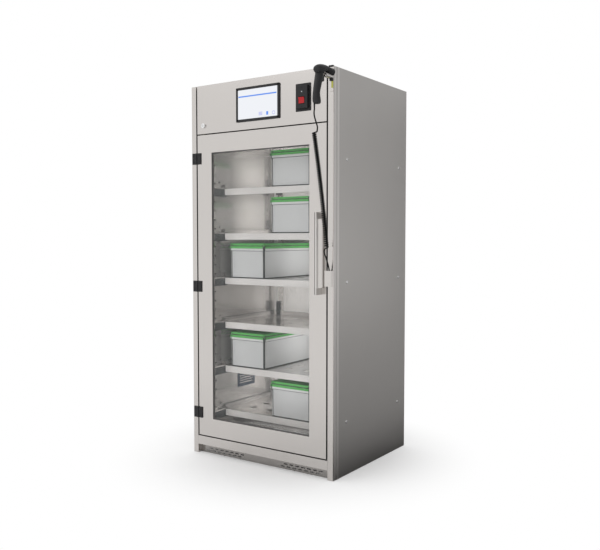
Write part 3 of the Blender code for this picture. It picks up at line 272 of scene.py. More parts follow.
def moulded_group():
    """Fine texture of a moulded or powder-coated skin."""
    group, given, made = surface_group("moulded_skin")
    pits = stretched_noise(group, stretch=(1.0, 1.0, 1.0), scale=900, detail=2)
    clouds = stretched_noise(group, stretch=(1.0, 1.0, 1.0), scale=14, detail=3)
    give_surface(group, given, made, clouds.outputs["Fac"], pits.outputs["Fac"])
    return group


BRUSHED, MOULDED = brushed_group(), moulded_group()


def finish_of(name, group, colour, roughness, metal, bump=0.02, specular=0.5):
    """A material whose colour, roughness and bump come from a surface group."""
    material = bpy.data.materials.new(name)
    material.use_nodes = True
    tree = material.node_tree
    shader = tree.nodes["Principled BSDF"]
    surface = add_node(tree, "ShaderNodeGroup")
    surface.node_tree = group
    for label, value in zip(SURFACE_INPUTS, (*SHADE_RANGE, *roughness)):
        set_input(surface, label, value)
    tint = multiplied(tree, surface.outputs["Shade"])
    tint.inputs[MIX_A].default_value = (*colour, 1)
    tree.links.new(tint.outputs[MIX_RESULT], shader.inputs["Base Color"])
    tree.links.new(surface.outputs["Roughness"], shader.inputs["Roughness"])
    relief = add_node(tree, "ShaderNodeBump")
    set_input(relief, "Strength", bump)
    set_input(relief, "Distance", BUMP_REACH)
    tree.links.new(surface.outputs["Height"], relief.inputs["Height"])
    tree.links.new(relief.outputs["Normal"], shader.inputs["Normal"])
    set_input(shader, "Metallic", metal)
    set_input(shader, "Specular IOR Level", specular)
    return material


OUTER_COLOUR, OUTER_ROUGHNESS, BLACK = (0.60, 0.572, 0.55), (0.16, 0.23), (0.014, 0.014, 0.015)
OUTER_STEEL = finish_of("outer_steel", BRUSHED, OUTER_COLOUR, OUTER_ROUGHNESS, 1.0)
SIDE_STEEL = finish_of("side_steel", BRUSHED, (0.62, 0.60, 0.58), (0.36, 0.44), 1.0)
# Brighter steel of the bands on the folds: a painted highlight
HIGHLIGHT_STEEL = finish_of("painted_highlight_steel", BRUSHED, (0.80, 0.775, 0.755), (0.36, 0.44), 1.0)
HANDLE_STEEL = finish_of("handle_steel", BRUSHED, (0.60, 0.58, 0.56), (0.25, 0.35), 0.3)
INNER_STEEL = finish_of("inner_steel", BRUSHED, (0.60, 0.575, 0.555), (0.13, 0.19), 0.75)
BACK_STEEL = finish_of("back_steel", BRUSHED, (0.64, 0.62, 0.60), (0.24, 0.32), 0.35)
SHELF_STEEL = finish_of("shelf_steel", BRUSHED, (0.56, 0.54, 0.525), (0.36, 0.44), 0.2)
BRACKET_GREY = finish_of("bracket_grey", MOULDED, (0.055, 0.055, 0.057), (0.5, 0.6), 0.0, specular=0.3)
BIN_METAL = finish_of("bin_metal", MOULDED, (0.465, 0.468, 0.468), (0.36, 0.46), 0.2)
# The rolled rim in the tray's own metal, painted lighter: painted light on the rim
LIT_RIM_METAL = finish_of("lit_rim_metal", MOULDED, (0.55, 0.55, 0.55), (0.36, 0.46), 0.2)
# Near-black grey of the bins' dark lines: painted shade
SHADE_LINE_GREY = finish_of("shade_line_grey", MOULDED, (0.035, 0.037, 0.036), (0.5, 0.6), 0.0, specular=0.2)
LID_GREEN = finish_of("lid_green", MOULDED, (0.075, 0.32, 0.075), (0.5, 0.6), 0.0, specular=0.2)
BLACK_PLASTIC = finish_of("black_plastic", MOULDED, BLACK, (0.42, 0.55), 0.0, bump=0.15, specular=0.3)
BLACK_METAL = finish_of("black_metal", MOULDED, BLACK, (0.35, 0.45), 0.0, bump=0.08, specular=0.3)
CORD_RUBBER = finish_of("cord_rubber", MOULDED, (0.004, 0.004, 0.004), (0.5, 0.6), 0.0, specular=0.1)
SEAL_RUBBER = finish_of("seal_rubber", MOULDED, (0.10, 0.098, 0.096), (0.6, 0.75), 0.0, specular=0.3)
RED_PLASTIC = finish_of("red_plastic", MOULDED, (0.41, 0.020, 0.024), (0.4, 0.5), 0.0, specular=0.2)
GRILLE_PLASTIC = finish_of("grille_plastic", MOULDED, (0.03, 0.037, 0.05), (0.45, 0.6), 0.0, specular=0.2)
CHROME = finish_of("lock_chrome", BRUSHED, (0.75, 0.75, 0.75), (0.12, 0.2), 1.0)
MAGNET_STEEL = finish_of("magnet_steel", BRUSHED, (0.40, 0.40, 0.41), (0.4, 0.5), 1.0)


def darker_below(material, height, share):
    """Dim a finish below a height, where the floor keeps the light away."""
    tree = material.node_tree
    shader = tree.nodes["Principled BSDF"]
    colour = shader.inputs["Base Color"].links[0].from_socket
    dim = multiplied(tree, ramp(tree, object_axis(tree, "Z"), around(height, SHEET), (share, 1)))
    tree.links.new(colour, dim.inputs[MIX_A])
    tree.links.new(dim.outputs[MIX_RESULT], shader.inputs["Base Color"])
    return material


RAIL_BOTTOM, KICK_SHADE, GLASS_ALPHA = 0.048, 0.54, 0.03
PLINTH_STEEL = darker_below(finish_of("plinth_steel", BRUSHED, OUTER_COLOUR, OUTER_ROUGHNESS, 1.0),
                            RAIL_BOTTOM, KICK_SHADE)


def glass_material():
    """Clear pane: nearly see-through, with a trace of smear in its roughness."""
    material = finish_of("clear_glass", MOULDED, (0.80, 0.84, 0.82), (0.03, 0.08), 0.0, bump=0.0)
    set_input(material.node_tree.nodes["Principled BSDF"], "Alpha", GLASS_ALPHA)
    return material


def lit_material(name, colour):
    """Lit screen or lamp behind glossy cover glass."""
    material = finish_of(name, MOULDED, (0.03, 0.03, 0.03), (0.08, 0.12), 0.0, bump=0.0)
    shader = material.node_tree.nodes["Principled BSDF"]
    set_input(shader, "Emission Color", (*colour, 1))
    set_input(shader, "Emission Strength", 1.0)
    return material


CLEAR_GLASS = glass_material()
LIT_SCREEN = lit_material("lit_screen", (0.80, 0.82, 0.86))
PAGE_BLUE = lit_material("page_blue", (0.07, 0.24, 0.80))
PAGE_PALE = lit_material("page_pale", (0.44, 0.47, 0.80))
# Yellow-green glow below the scanner's nose: painted light
GLOW_GREEN = lit_material("painted_glow_green", (0.33, 0.33, 0.035))

# The frame's own nodes take these finishes
FINISHES = {"outer_steel": OUTER_STEEL, "inner_steel": INNER_STEEL, "bin_metal": BIN_METAL,
            "green_lid": LID_GREEN, "clear_glass": CLEAR_GLASS, "screen_glass": LIT_SCREEN,
            "seal_rubber": SEAL_RUBBER, "cord_rubber": CORD_RUBBER, "black_metal": BLACK_METAL,
            "black_plastic": BLACK_PLASTIC, "red_plastic": RED_PLASTIC, "grille_plastic": GRILLE_PLASTIC,
            "lock_chrome": CHROME, "magnet_steel": MAGNET_STEEL}


def coat(piece, material):
    piece.data.materials.clear()
    piece.data.materials.append(material)


for subpart in frame["record"]["subparts"]:
    coat(NODES[subpart["node"]], FINISHES[subpart["material_slot"]])
coat(scanner_cord, CORD_RUBBER)


# Modelling by hand: a start is added at its size, shaped in edit mode and finished with applied modifiers
def only(piece):
    """Select one piece and nothing else."""
    bpy.ops.object.select_all(action="DESELECT")
    piece.select_set(True)
    bpy.context.view_layer.objects.active = piece


def settle(name):
    """Name the piece just added and put its place, turn and size into its mesh."""
    piece = bpy.context.object
    only(piece)
    bpy.ops.object.transform_apply(location=True, rotation=True, scale=True)
    piece.name = piece.data.name = name
    return piece


def block(name, x, depth, z):
    """A box between three spans, as a start."""
    bpy.ops.object.select_all(action="DESELECT")
    bpy.ops.mesh.primitive_cube_add(size=1, location=place(middle(x), middle(depth), middle(z)))
    bpy.context.object.scale = (length(x), length(depth), length(z))
    return settle(name)


def rod(name, start, end, radius, sides=32):
    """A round bar between two points, as a start."""
    start, end = place(*start), place(*end)
    bpy.ops.object.select_all(action="DESELECT")
    bpy.ops.mesh.primitive_cylinder_add(vertices=sides, radius=radius, depth=(end - start).length,
                                        location=(start + end) / 2)
    bpy.context.object.rotation_euler = (end - start).to_track_quat("Z", "Y").to_euler()
    return settle(name)


@contextmanager
def shaping(piece):
    """Edit mode on one piece, with nothing picked."""
    only(piece)
    bpy.ops.object.mode_set(mode="EDIT")
    bpy.ops.mesh.select_all(action="DESELECT")
    yield
    bpy.ops.object.mode_set(mode="OBJECT")


def pick(kind, test):
    """Pick the faces or edges whose middle and direction pass the test."""
    bpy.ops.mesh.select_mode(type=kind)
    bpy.ops.mesh.select_all(action="DESELECT")
    mesh = bpy.context.edit_object.data
    shape = bmesh.from_edit_mesh(mesh)
    shape.normal_update()
    for part in shape.faces if kind == "FACE" else shape.edges:
        if kind == "FACE":
            centre, way = part.calc_center_median(), part.normal
        else:
            first, last = (end.co for end in part.verts)
            centre, way = (first + last) / 2, (last - first).normalized()
        if test(centre, way):
            part.select_set(True)
    bmesh.update_edit_mesh(mesh)


def push(way):
    """Extrude what is picked and move it."""
    bpy.ops.mesh.extrude_region_move(TRANSFORM_OT_translate={"value": way})


def widen(ratio, centre):
    bpy.ops.transform.resize(value=ratio, center_override=centre)


def round_picked(width, segments):
    bpy.ops.mesh.bevel(offset=width, segments=segments, affect="EDGES", clamp_overlap=True)


def inset_picked(by):
    bpy.ops.mesh.inset(thickness=by)


def round_corners(piece, test, width, segments):
    """Round the edges of a piece that pass the test."""
    with shaping(piece):
        pick("EDGE", test)
        round_picked(width, segments)
    return piece


def open_through(test, by):
    """Inset two opposite faces of the piece in edit mode and join them, which leaves a ring."""
    pick("FACE", test)
    inset_picked(by)
    bpy.ops.mesh.bridge_edge_loops()


# How close counts as the same place, and how much of a direction has to lie along an axis
NEAR, ALONG = 1e-4, 0.9


def near(a, b):
    return abs(a - b) < NEAR


def along_x(where, way):
    return abs(way.x) > ALONG


def along_y(where, way):
    return abs(way.y) > ALONG


def along_z(where, way):
    return abs(way.z) > ALONG


def faces_up(where, way):
    return way.z > ALONG


def faces_down(where, way):
    return way.z < -ALONG


def faces_front(where, way):
    return way.y < -ALONG


def finish_with(piece, kind, **settings):
    """Add a modifier, set it and apply it."""
    only(piece)
    step = piece.modifiers.new(kind.lower(), kind)
    for key, value in settings.items():
        setattr(step, key, value)
    bpy.ops.object.modifier_apply(modifier=step.name)


def smooth(piece, angle=35):
    only(piece)
    bpy.ops.object.shade_smooth_by_angle(angle=math.radians(angle))
    return piece


def round_edges(piece, width, segments=2, angle=30):
    """Ease the sharp edges of a finished shape."""
    finish_with(piece, "BEVEL", width=width, segments=segments, limit_method="ANGLE",
                angle_limit=math.radians(angle))
    smooth(piece)
    finish_with(piece, "WEIGHTED_NORMAL", keep_sharp=True, weight=100)
    return piece


def cut(piece, tool):
    finish_with(piece, "BOOLEAN", operation="DIFFERENCE", object=tool, solver="EXACT")
    bpy.data.objects.remove(tool)
    return piece


def joined(piece, *others):
    only(piece)
    for other in others:
        other.select_set(True)
    bpy.ops.object.join()
    return piece


def copied(piece, name, move):
    """A copy with its own mesh, moved."""
    only(piece)
    bpy.ops.object.duplicate()
    bpy.context.object.location = move
    return settle(name)


def dressed(piece, body, slot, *nodes, finish=None):
    """Give a finished piece its material and its body, and hide the nodes it stands for."""
    coat(piece, finish or FINISHES[slot])
    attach(piece, body)
    if nodes:
        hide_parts(*nodes)
    return piece


SCREW_SIDES, SCREW_DOME, RECESS_REACH, RECESS_WIDE = 24, 0.7, 1.1, 0.22


def screw_head(name, centre, radius, rise, way):
    """A domed head with a cross recess, standing on an upright surface that faces the given way."""
    way, up = Vector(way), Vector((0, 0, 1))
    head = rod(name, centre, Vector(centre) + way * rise, radius, SCREW_SIDES)
    tip = place(*centre) + way * rise
    with shaping(head):
        pick("FACE", lambda where, facing: facing.dot(way) > ALONG)
        round_picked(rise * SCREW_DOME, segments=4)
    for line in (up, way.cross(up)):
        bpy.ops.object.select_all(action="DESELECT")
        bpy.ops.mesh.primitive_cube_add(size=1, location=tip)
        arm = bpy.context.object
        sizes = way * rise + line * radius * RECESS_REACH + way.cross(line) * radius * RECESS_WIDE
        arm.scale = [abs(size) for size in sizes]
        cut(head, settle("recess"))
    return smooth(head)


# Folded sheet work: the frame's own solids with their sharp folds and edges eased
MERGE, FLAT_WITHIN = 1e-6, math.radians(0.5)
FOLD_EASE, EDGE_EASE = 0.0012, 0.0005
SIDE_HALF = WIDTH / 2
POST_OUTER, POST_ROLL = SIDE_HALF - 0.0015, 0.0025
DOOR_HALF, DOOR_THICK, DOOR_BOTTOM, DOOR_TOP = 0.414, 0.040, 0.102, 1.737
GLASS_HALF, GLASS_BOTTOM, GLASS_TOP = 0.314, 0.199, 1.640
REVEAL_SPLAY, REVEAL_EDGE = 0.018, 1.5 * SHEET


def merged(node):
    """A copy of one of the frame's solids with its facets merged back into whole faces."""
    piece = bpy.data.objects.new(node + "_eased", NODES[node].data.copy())
    bpy.context.scene.collection.objects.link(piece)
    with shaping(piece):
        bpy.ops.mesh.select_all(action="SELECT")
        bpy.ops.mesh.remove_doubles(threshold=MERGE)
        bpy.ops.mesh.dissolve_limited(angle_limit=FLAT_WITHIN)
    return piece


def rolled_post(node):
    """A front post whose outer corner is rolled over a wide radius, inside and out."""
    side = -1 if node.startswith("left") else 1
    piece = merged(node)
    with shaping(piece):
        for deep in (0, SHEET):
            pick("EDGE", lambda where, way: along_z(where, way) and near(where.y, FRONT + deep)
                 and near(where.x, side * (POST_OUTER - deep)))
            round_picked(POST_ROLL - deep, segments=6)
    return piece


def splayed_frame(node):
    """The door's frame with the rear edges of its window moved outwards on both sides."""
    piece = merged(node)
    with shaping(piece):
        for side in (-1, 1):
            pick("EDGE", lambda where, way: along_z(where, way)
                 and where.y > FRONT + DOOR_THICK - REVEAL_EDGE
                 and GLASS_HALF - SEAT < side * where.x < GLASS_HALF + REVEAL_EDGE)
            bpy.ops.transform.translate(value=(side * REVEAL_SPLAY, 0, 0))
    return piece


BODY_OF = {node: body for body, names in frame["record"]["behaviour"]["bodies"].items() for node in names}
SLOT_OF = {subpart["node"]: subpart["material_slot"] for subpart in frame["record"]["subparts"]}
SHEETS = ["left_side_panel", "right_side_panel", "back_panel", "top_panel", "left_post", "right_post",
          "plinth_panel", "chamber_floor", "chamber_ceiling", "chamber_back", "left_inner_wall",
          "right_inner_wall", "door_frame", "fascia_panel"]
STRIPS = ["front_left_upright", "front_right_upright", "rear_left_upright", "rear_right_upright",
          "air_grille", "cable_box", "armature_plate", "lock_magnet", "lock_cam", "rocker_switch",
          "door_gasket"]
OWN_SHAPE = {"left_post": rolled_post, "right_post": rolled_post, "door_frame": splayed_frame}
OWN_FINISH = {"left_side_panel": SIDE_STEEL, "right_side_panel": SIDE_STEEL, "chamber_back": BACK_STEEL,
              "plinth_panel": PLINTH_STEEL}
for names, ease in ((SHEETS, FOLD_EASE), (STRIPS, EDGE_EASE)):
    for node in names:
        piece = OWN_SHAPE.get(node, merged)(node)
        dressed(round_edges(piece, ease), BODY_OF[node], SLOT_OF[node], node, finish=OWN_FINISH.get(node))

# Bright bands down the posts and side panels, a painted highlight on their rounded folds, and a black strip
# on the door's closing edge, painted shade in the gap to the post
BAND_RISE, BAND_INSET = 0.0006, 0.001
HIGHLIGHT_BANDS = [("post_highlight_band", POST_OUTER, (0.004, 0.020)), ("side_highlight_band", SIDE_HALF, (0.032, 0.048))]
DOOR_SHADE_RISE, DOOR_SHADE_EASE = 0.001, 0.0003
for side in (-1, 1):
    for name, face, depth in HIGHLIGHT_BANDS:
        band = block(name, (side * face, side * (face + BAND_RISE)), depth, inset((0, HEIGHT), BAND_INSET))
        dressed(round_edges(band, BAND_RISE / 2), "cabinet", "outer_steel", finish=HIGHLIGHT_STEEL)
# Black strip on the door's closing edge: painted shade in the gap to the post
door_shade_strip = block("door_gap_shade", (DOOR_HALF, DOOR_HALF + DOOR_SHADE_RISE), inset((0, DOOR_THICK), SHEET),
                  inset((DOOR_BOTTOM, DOOR_TOP), SHEET))
dressed(round_edges(door_shade_strip, DOOR_SHADE_EASE), "door", "seal_rubber", finish=CORD_RUBBER)

# Dome-head screws on the side panels and along the edges of the back panel, each size a radius and a rise
SIDE_SCREW_DEPTHS, SIDE_SCREW_HEIGHTS, SIDE_SCREW = (0.123, 0.677), (1.569, 0.968, 0.270), (0.0080, 0.0030)
BACK_SCREW_X, BACK_SCREW_HEIGHTS, BACK_SCREW = 0.424, (0.030, 0.500, 1.000, 1.500, 1.970), (0.0050, 0.0020)
BACK_SCREW_START = (0, DEPTH, 1)


def screw_row(name, start, size, way, spots):
    """One screw head, modelled at a start and copied to each spot."""
    first = screw_head(name, start, *size, way)
    for spot in spots:
        dressed(copied(first, name, Vector(spot) - Vector(start)), "cabinet", "lock_chrome")
    bpy.data.objects.remove(first)


for side in (-1, 1):
    spots = [(side * SIDE_HALF, depth, z) for depth in SIDE_SCREW_DEPTHS for z in SIDE_SCREW_HEIGHTS]
    screw_row("side_screw", spots[0], SIDE_SCREW, (side, 0, 0), spots)
spots = [(side * BACK_SCREW_X, DEPTH, z) for side in (-1, 1) for z in BACK_SCREW_HEIGHTS]
screw_row("back_screw", BACK_SCREW_START, BACK_SCREW, (0, 1, 0), spots)

# Shelves: one folded and pierced sheet with hook arms, copied to every height
WALL_HALF, CHAMBER_FLOOR, CHAMBER_CEILING, UPRIGHT_RISE = 0.440, 0.105, 1.700, 0.010
SHELF_PITCH, LOWEST_SHELF, SHELF_COUNT = 0.2536, 0.196, 6
SHELF_TOPS = [LOWEST_SHELF + SHELF_PITCH * step for step in reversed(range(SHELF_COUNT))]
SHELF_HALF, SHELF_FRONT, SHELF_BACK = 0.427, 0.240, 0.7244
SHELF_FOLD, SHELF_UPSTAND, SHELF_HEM, SHELF_BEND = 0.036, 0.025, 0.012, 0.0030
HOLE_RADIUS, HOLE_PITCH_X, HOLE_PITCH_Y, HOLE_COLUMNS, HOLE_ROWS = 0.021, 0.125, 0.123, 6, 3
# The front uprights span a depth on the side walls, the rear ones a width on the back
FRONT_STRIP, REAR_STRIP = (0.145, 0.175), (0.370, 0.405)
ARM_FRONT, ARM_LAP, ARM_CORNER, ARM_SPAN, CHEEK_RISE = 0.140, 0.020, 0.006, (-0.044, -0.002), 0.006
ARM_DEPTH = (ARM_FRONT, SHELF_FRONT + ARM_LAP)
HOOK_INSET, HOOK_HALF, CLIP_DEEP, CLIP_DROP = 0.008, 0.020, 0.030, 0.014
REAR_PLATE_X, REAR_PLATE_RISE, GAP_SHADE_RISE, TRIM_PROUD = (0.386, 0.414), 0.085, (0.018, 0.024), 0.0012
WALL_SCREW_DEPTH, WALL_SCREW_RISE, WALL_SCREW = 0.209, 0.037, (0.0045, 0.0020)


def sided(side, span):
    return (side * span[0], side * span[1])


def raised(z, span):
    return (z + span[0], z + span[1])


def shelf_sheet(z):
    """Front fold with a hem, upstands at the back and sides, and rows of round holes."""
    half, depth = SHELF_HALF - SHEET, (SHELF_FRONT, SHELF_BACK - SHEET)
    front, back = FRONT + depth[0], FRONT + depth[1]
    bpy.ops.object.select_all(action="DESELECT")
    bpy.ops.mesh.primitive_plane_add(size=1, location=place(0, middle(depth), z))
    bpy.context.object.scale = (2 * half, length(depth), 1)
    sheet = settle("shelf_sheet")
    with shaping(sheet):
        pick("EDGE", lambda where, way: near(where.y, front))
        push((0, 0, -SHELF_FOLD))
        push((0, SHELF_HEM, 0))
        pick("EDGE", lambda where, way: near(where.y, back))
        push((0, 0, SHELF_UPSTAND))
        pick("EDGE", lambda where, way: near(abs(where.x), half) and near(where.z, z))
        push((0, 0, SHELF_UPSTAND))
        pick("EDGE", lambda where, way: (along_x(where, way) and near(where.y, front)) or near(where.z, z))
        round_picked(SHELF_BEND, segments=4)
    finish_with(sheet, "SOLIDIFY", thickness=SHEET, offset=-1)
    holes = []
    for row in range(HOLE_ROWS):
        for column in range(HOLE_COLUMNS):
            x = (column - (HOLE_COLUMNS - 1) / 2) * HOLE_PITCH_X
            at = middle((SHELF_FRONT, SHELF_BACK)) + (row - (HOLE_ROWS - 1) / 2) * HOLE_PITCH_Y
            holes.append(rod("shelf_hole", (x, at, z - 3 * SHEET), (x, at, z + 2 * SHEET), HOLE_RADIUS))
    return cut(sheet, joined(*holes))


def shelf_web(side):
    return sided(side, (SHELF_HALF - SHEET, SHELF_HALF))


def shelf_arm(side, z):
    """Dark arm with its hook, the rear clip and plate, a dark strip of painted shade in the gap to the wall,
    and a screw.
    """
    arm = block("shelf_arm", shelf_web(side), ARM_DEPTH, raised(z, ARM_SPAN))
    round_corners(arm, lambda where, way: along_x(where, way) and near(where.y, FRONT + ARM_FRONT),
                  ARM_CORNER, segments=5)
    hook = block("shelf_hook", sided(side, (SHELF_HALF - SHEET / 2, WALL_HALF - UPRIGHT_RISE - 2 * SEAT)),
                 inset(FRONT_STRIP, HOOK_INSET), (z - HOOK_HALF, z + ARM_SPAN[1]))
    clip = block("shelf_clip", sided(side, inset(REAR_STRIP, HOOK_INSET)),
                 (SHELF_BACK - CLIP_DEEP, SHELF_BACK), (z - CLIP_DROP, z - SHEET / 2))
    plate = block("shelf_plate", sided(side, REAR_PLATE_X),
                  (SHELF_BACK - 3 * SHEET, SHELF_BACK - SHEET), (z + SHEET, z + REAR_PLATE_RISE))
    # Painted shade: a dark strip that fills the gap between the shelf and the wall
    strip = block("shelf_gap_shade", sided(side, inset((SHELF_HALF, WALL_HALF), SEAT)),
                  (SHELF_FRONT + ARM_LAP, SHELF_BACK), raised(z, GAP_SHADE_RISE))
    screw = screw_head("shelf_screw", (side * WALL_HALF, WALL_SCREW_DEPTH, z + WALL_SCREW_RISE), *WALL_SCREW,
                       (-side, 0, 0))
    return joined(round_edges(joined(arm, hook, clip, plate, strip), EDGE_EASE), screw)


def shelf_cheek(side, z):
    """Low steel cheek above the arm."""
    top = z + CHEEK_RISE
    cheek = block("shelf_cheek", shelf_web(side), ARM_DEPTH, (z + ARM_SPAN[1], top))
    round_corners(cheek, lambda where, way: along_x(where, way) and near(where.z, top),
                  CHEEK_RISE / 2, segments=5)
    return round_edges(cheek, EDGE_EASE)


def shelf_trim(z):
    """Smooth steel face of the front fold, with a soft edge all round."""
    trim = block("shelf_trim", around(0, SHELF_HALF - SHEET), (SHELF_FRONT - TRIM_PROUD, SHELF_FRONT),
                 (z - SHELF_FOLD, z - SEAT))
    return round_edges(trim, EDGE_EASE)


# Dark sheet behind the slots of each front upright, painted shade inside the upright
SLOT_SHADE_THICK, SLOT_SHADE_INSET, SLOT_SHADE_ENDS = 0.003, 0.004, 0.030
for side in (-1, 1):
    slot_shade = block("slot_shade_sheet", sided(side, (WALL_HALF - SLOT_SHADE_THICK, WALL_HALF - SEAT)),
                  inset(FRONT_STRIP, SLOT_SHADE_INSET), inset((CHAMBER_FLOOR, CHAMBER_CEILING), SLOT_SHADE_ENDS))
    dressed(round_edges(slot_shade, EDGE_EASE), "cabinet", "black_metal")

sheet_model, trim_model = smooth(shelf_sheet(0)), shelf_trim(0)
cheeks_model = joined(shelf_cheek(-1, 0), shelf_cheek(1, 0))
arms_model = joined(shelf_arm(-1, 0), shelf_arm(1, 0))
for number, z in enumerate(SHELF_TOPS, start=1):
    lift = (0, 0, z)
    sheet = copied(sheet_model, f"shelf_sheet_{number}", lift)
    dressed(sheet, "cabinet", "inner_steel", f"shelf_{number}")
    arms = copied(arms_model, f"shelf_arms_{number}", lift)
    dressed(arms, "cabinet", "black_metal", finish=BRACKET_GREY)
    trim = copied(trim_model, f"shelf_trim_{number}", lift)
    dressed(trim, "cabinet", "inner_steel", finish=SHELF_STEEL)
    dressed(copied(cheeks_model, f"shelf_cheeks_{number}", lift), "cabinet", "inner_steel")
for model in (sheet_model, trim_model, cheeks_model, arms_model):
    bpy.data.objects.remove(model)

# Bins: a drawn tapered tray with a rolled rim, and a two-tier lid with a groove between the tiers
BIN_DEPTH, BIN_WALL, BODY_HEIGHT, RIM_HEIGHT = 0.478, 0.0025, 0.156, 0.012
LID_LOW, LID_HIGH, RIM_INSET, BODY_INSET, TIER_INSET, TAPER = 0.012, 0.016, 0.001, 0.006, 0.006, 0.99
LID_CORNER, RIM_CORNER, BODY_CORNER, FOOT_ROUND = 0.008, 0.007, 0.006, 0.004
RIM_THICK, RIM_ROLL, GROOVE_WIDE, GROOVE_DEEP = 0.0058, 0.0022, 0.0015, 0.0035
LID_ROUND, LID_EASE = 0.0040, 0.0010
# Sizes of the bins' dark lines, which are painted shade
SHADE_LINE_RISE, SHADE_LINE_TALL, SHADE_LINE_BAND, FOOT_TALL, JOINT_TALL = 0.0003, 0.0028, 0.003, 0.006, 0.0045
LEFT_SHIFT = 0.003
MIDDLE_LEFT, WALL_LEFT = -0.1075, -0.3965
BIN_PLACES = [(0, MIDDLE_LEFT), (1, MIDDLE_LEFT), (2, WALL_LEFT), (4, WALL_LEFT), (5, MIDDLE_LEFT)]
BIN_WIDTHS = {MIDDLE_LEFT: 0.268, WALL_LEFT: 0.252}
bin_depth = (SHELF_FRONT + SEAT, SHELF_FRONT + SEAT + BIN_DEPTH)
rim_top = BODY_HEIGHT + RIM_HEIGHT
lid_foot = rim_top + SEAT
tier_foot = lid_foot + LID_LOW
lid_top = tier_foot + LID_HIGH


def bin_tray(bin_x):
    """Open tray on the height zero, narrower at its foot, and its rolled rim."""
    tray = block("bin_tray", inset(bin_x, BODY_INSET), inset(bin_depth, BODY_INSET), (0, rim_top))
    with shaping(tray):
        pick("FACE", faces_down)
        widen((TAPER, TAPER, 1), place(middle(bin_x), middle(bin_depth), 0))
        pick("EDGE", along_z)
        round_picked(BODY_CORNER, segments=6)
        pick("EDGE", lambda where, way: near(where.z, 0))
        round_picked(FOOT_ROUND, segments=4)
        pick("FACE", faces_up)
        bpy.ops.mesh.delete(type="FACE")
    finish_with(tray, "SOLIDIFY", thickness=BIN_WALL, offset=-1)
    rim = block("bin_rim", inset(bin_x, RIM_INSET), inset(bin_depth, RIM_INSET), (BODY_HEIGHT, rim_top))
    with shaping(rim):
        pick("EDGE", along_z)
        round_picked(RIM_CORNER, segments=6)
        pick("FACE", along_z)
        bpy.ops.mesh.delete(type="FACE")
    finish_with(rim, "SOLIDIFY", thickness=RIM_THICK, offset=-1)
    return smooth(tray), round_edges(rim, RIM_ROLL, segments=4, angle=60)


def bin_lid(bin_x):
    """Two-tier lid that rests on the rim, hollow from below."""
    lid = block("bin_lid", bin_x, bin_depth, (lid_foot, tier_foot))
    with shaping(lid):
        pick("EDGE", along_z)
        round_picked(LID_CORNER, segments=6)
        pick("FACE", faces_up)
        inset_picked(TIER_INSET - GROOVE_WIDE)
        push((0, 0, -GROOVE_DEEP))
        inset_picked(GROOVE_WIDE)
        push((0, 0, GROOVE_DEEP + LID_HIGH))
        pick("EDGE", lambda where, way: near(where.z, lid_top))
        round_picked(LID_ROUND, segments=4)
        pick("FACE", faces_down)
        inset_picked(BODY_INSET + BIN_WALL)
        push((0, 0, LID_LOW + LID_HIGH - BIN_WALL))
    return round_edges(lid, LID_EASE, angle=50)


def level_ring(name, outline, by, z, corner):
    """A low ring with round corners that stands out by a little from an outline."""
    ring = block(name, *(inset(span, -by) for span in outline), z)
    with shaping(ring):
        pick("EDGE", along_z)
        round_picked(corner, segments=6)
        open_through(along_z, SHADE_LINE_BAND)
    return smooth(ring)


def bin_shade_lines(bin_x):
    """Dark lines of a bin and its lid: painted shade at the corners, along the foot and under the rim, and
    between the lid's tiers, where the line is partly a seal and partly painted shade.
    """
    lid = (bin_x, bin_depth)
    rim, body, tier = ([inset(span, by) for span in lid] for by in (RIM_INSET, BODY_INSET, TIER_INSET))
    foot = [inset(span, length(span) * (1 - TAPER) / 2) for span in body]
    levels = [(BODY_CORNER, (foot, FOOT_ROUND), (body, BODY_HEIGHT)),
              (RIM_CORNER, (rim, BODY_HEIGHT), (rim, rim_top)),
              (LID_CORNER, (lid, rim_top), (lid, tier_foot)),
              (LID_CORNER, (tier, tier_foot), (tier, lid_top - LID_ROUND))]
    corners = []
    for across in (0, 1):
        shift = 0 if across else LEFT_SHIFT
        for along in (0, 1):
            for corner, *stops in levels:
                ends = [(inset(x, corner)[across] + shift, inset(depth, corner)[along], z)
                        for (x, depth), z in stops]
                corners.append(smooth(rod("bin_corner_shade", *ends, corner + 2 * SHADE_LINE_RISE)))
    under_rim = (BODY_HEIGHT - SHADE_LINE_TALL, BODY_HEIGHT + SHEET)
    rings = [level_ring("bin_foot_shade", foot, SHADE_LINE_RISE, (0, FOOT_TALL), BODY_CORNER),
             level_ring("rim_shade_line", body, 2 * SHADE_LINE_RISE, under_rim, BODY_CORNER),
             level_ring("lid_joint", tier, SHADE_LINE_RISE, (tier_foot, tier_foot + JOINT_TALL), LID_CORNER)]
    return joined(*corners, *rings)


bin_models = {}
for left, width in BIN_WIDTHS.items():
    bin_models[left] = (*bin_tray((0, width)), bin_lid((0, width)), bin_shade_lines((0, width)))
for number, (shelf_index, left) in enumerate(BIN_PLACES, start=1):
    move = (left, 0, SHELF_TOPS[shelf_index] + SEAT)
    tray_model, rim_model, lid_model, shade_lines_model = bin_models[left]
    dressed(copied(tray_model, f"bin_tray_{number}", move), "cabinet", "bin_metal", f"bin_{number}")
    dressed(copied(rim_model, f"bin_rim_{number}", move), "cabinet", "bin_metal", finish=LIT_RIM_METAL)
    dressed(copied(shade_lines_model, f"bin_shade_lines_{number}", move), "cabinet", "seal_rubber", finish=SHADE_LINE_GREY)
    dressed(copied(lid_model, f"bin_cover_{number}", move), "cabinet", "green_lid", f"bin_lid_{number}")
for models in bin_models.values():
    for model in models:
        bpy.data.objects.remove(model)

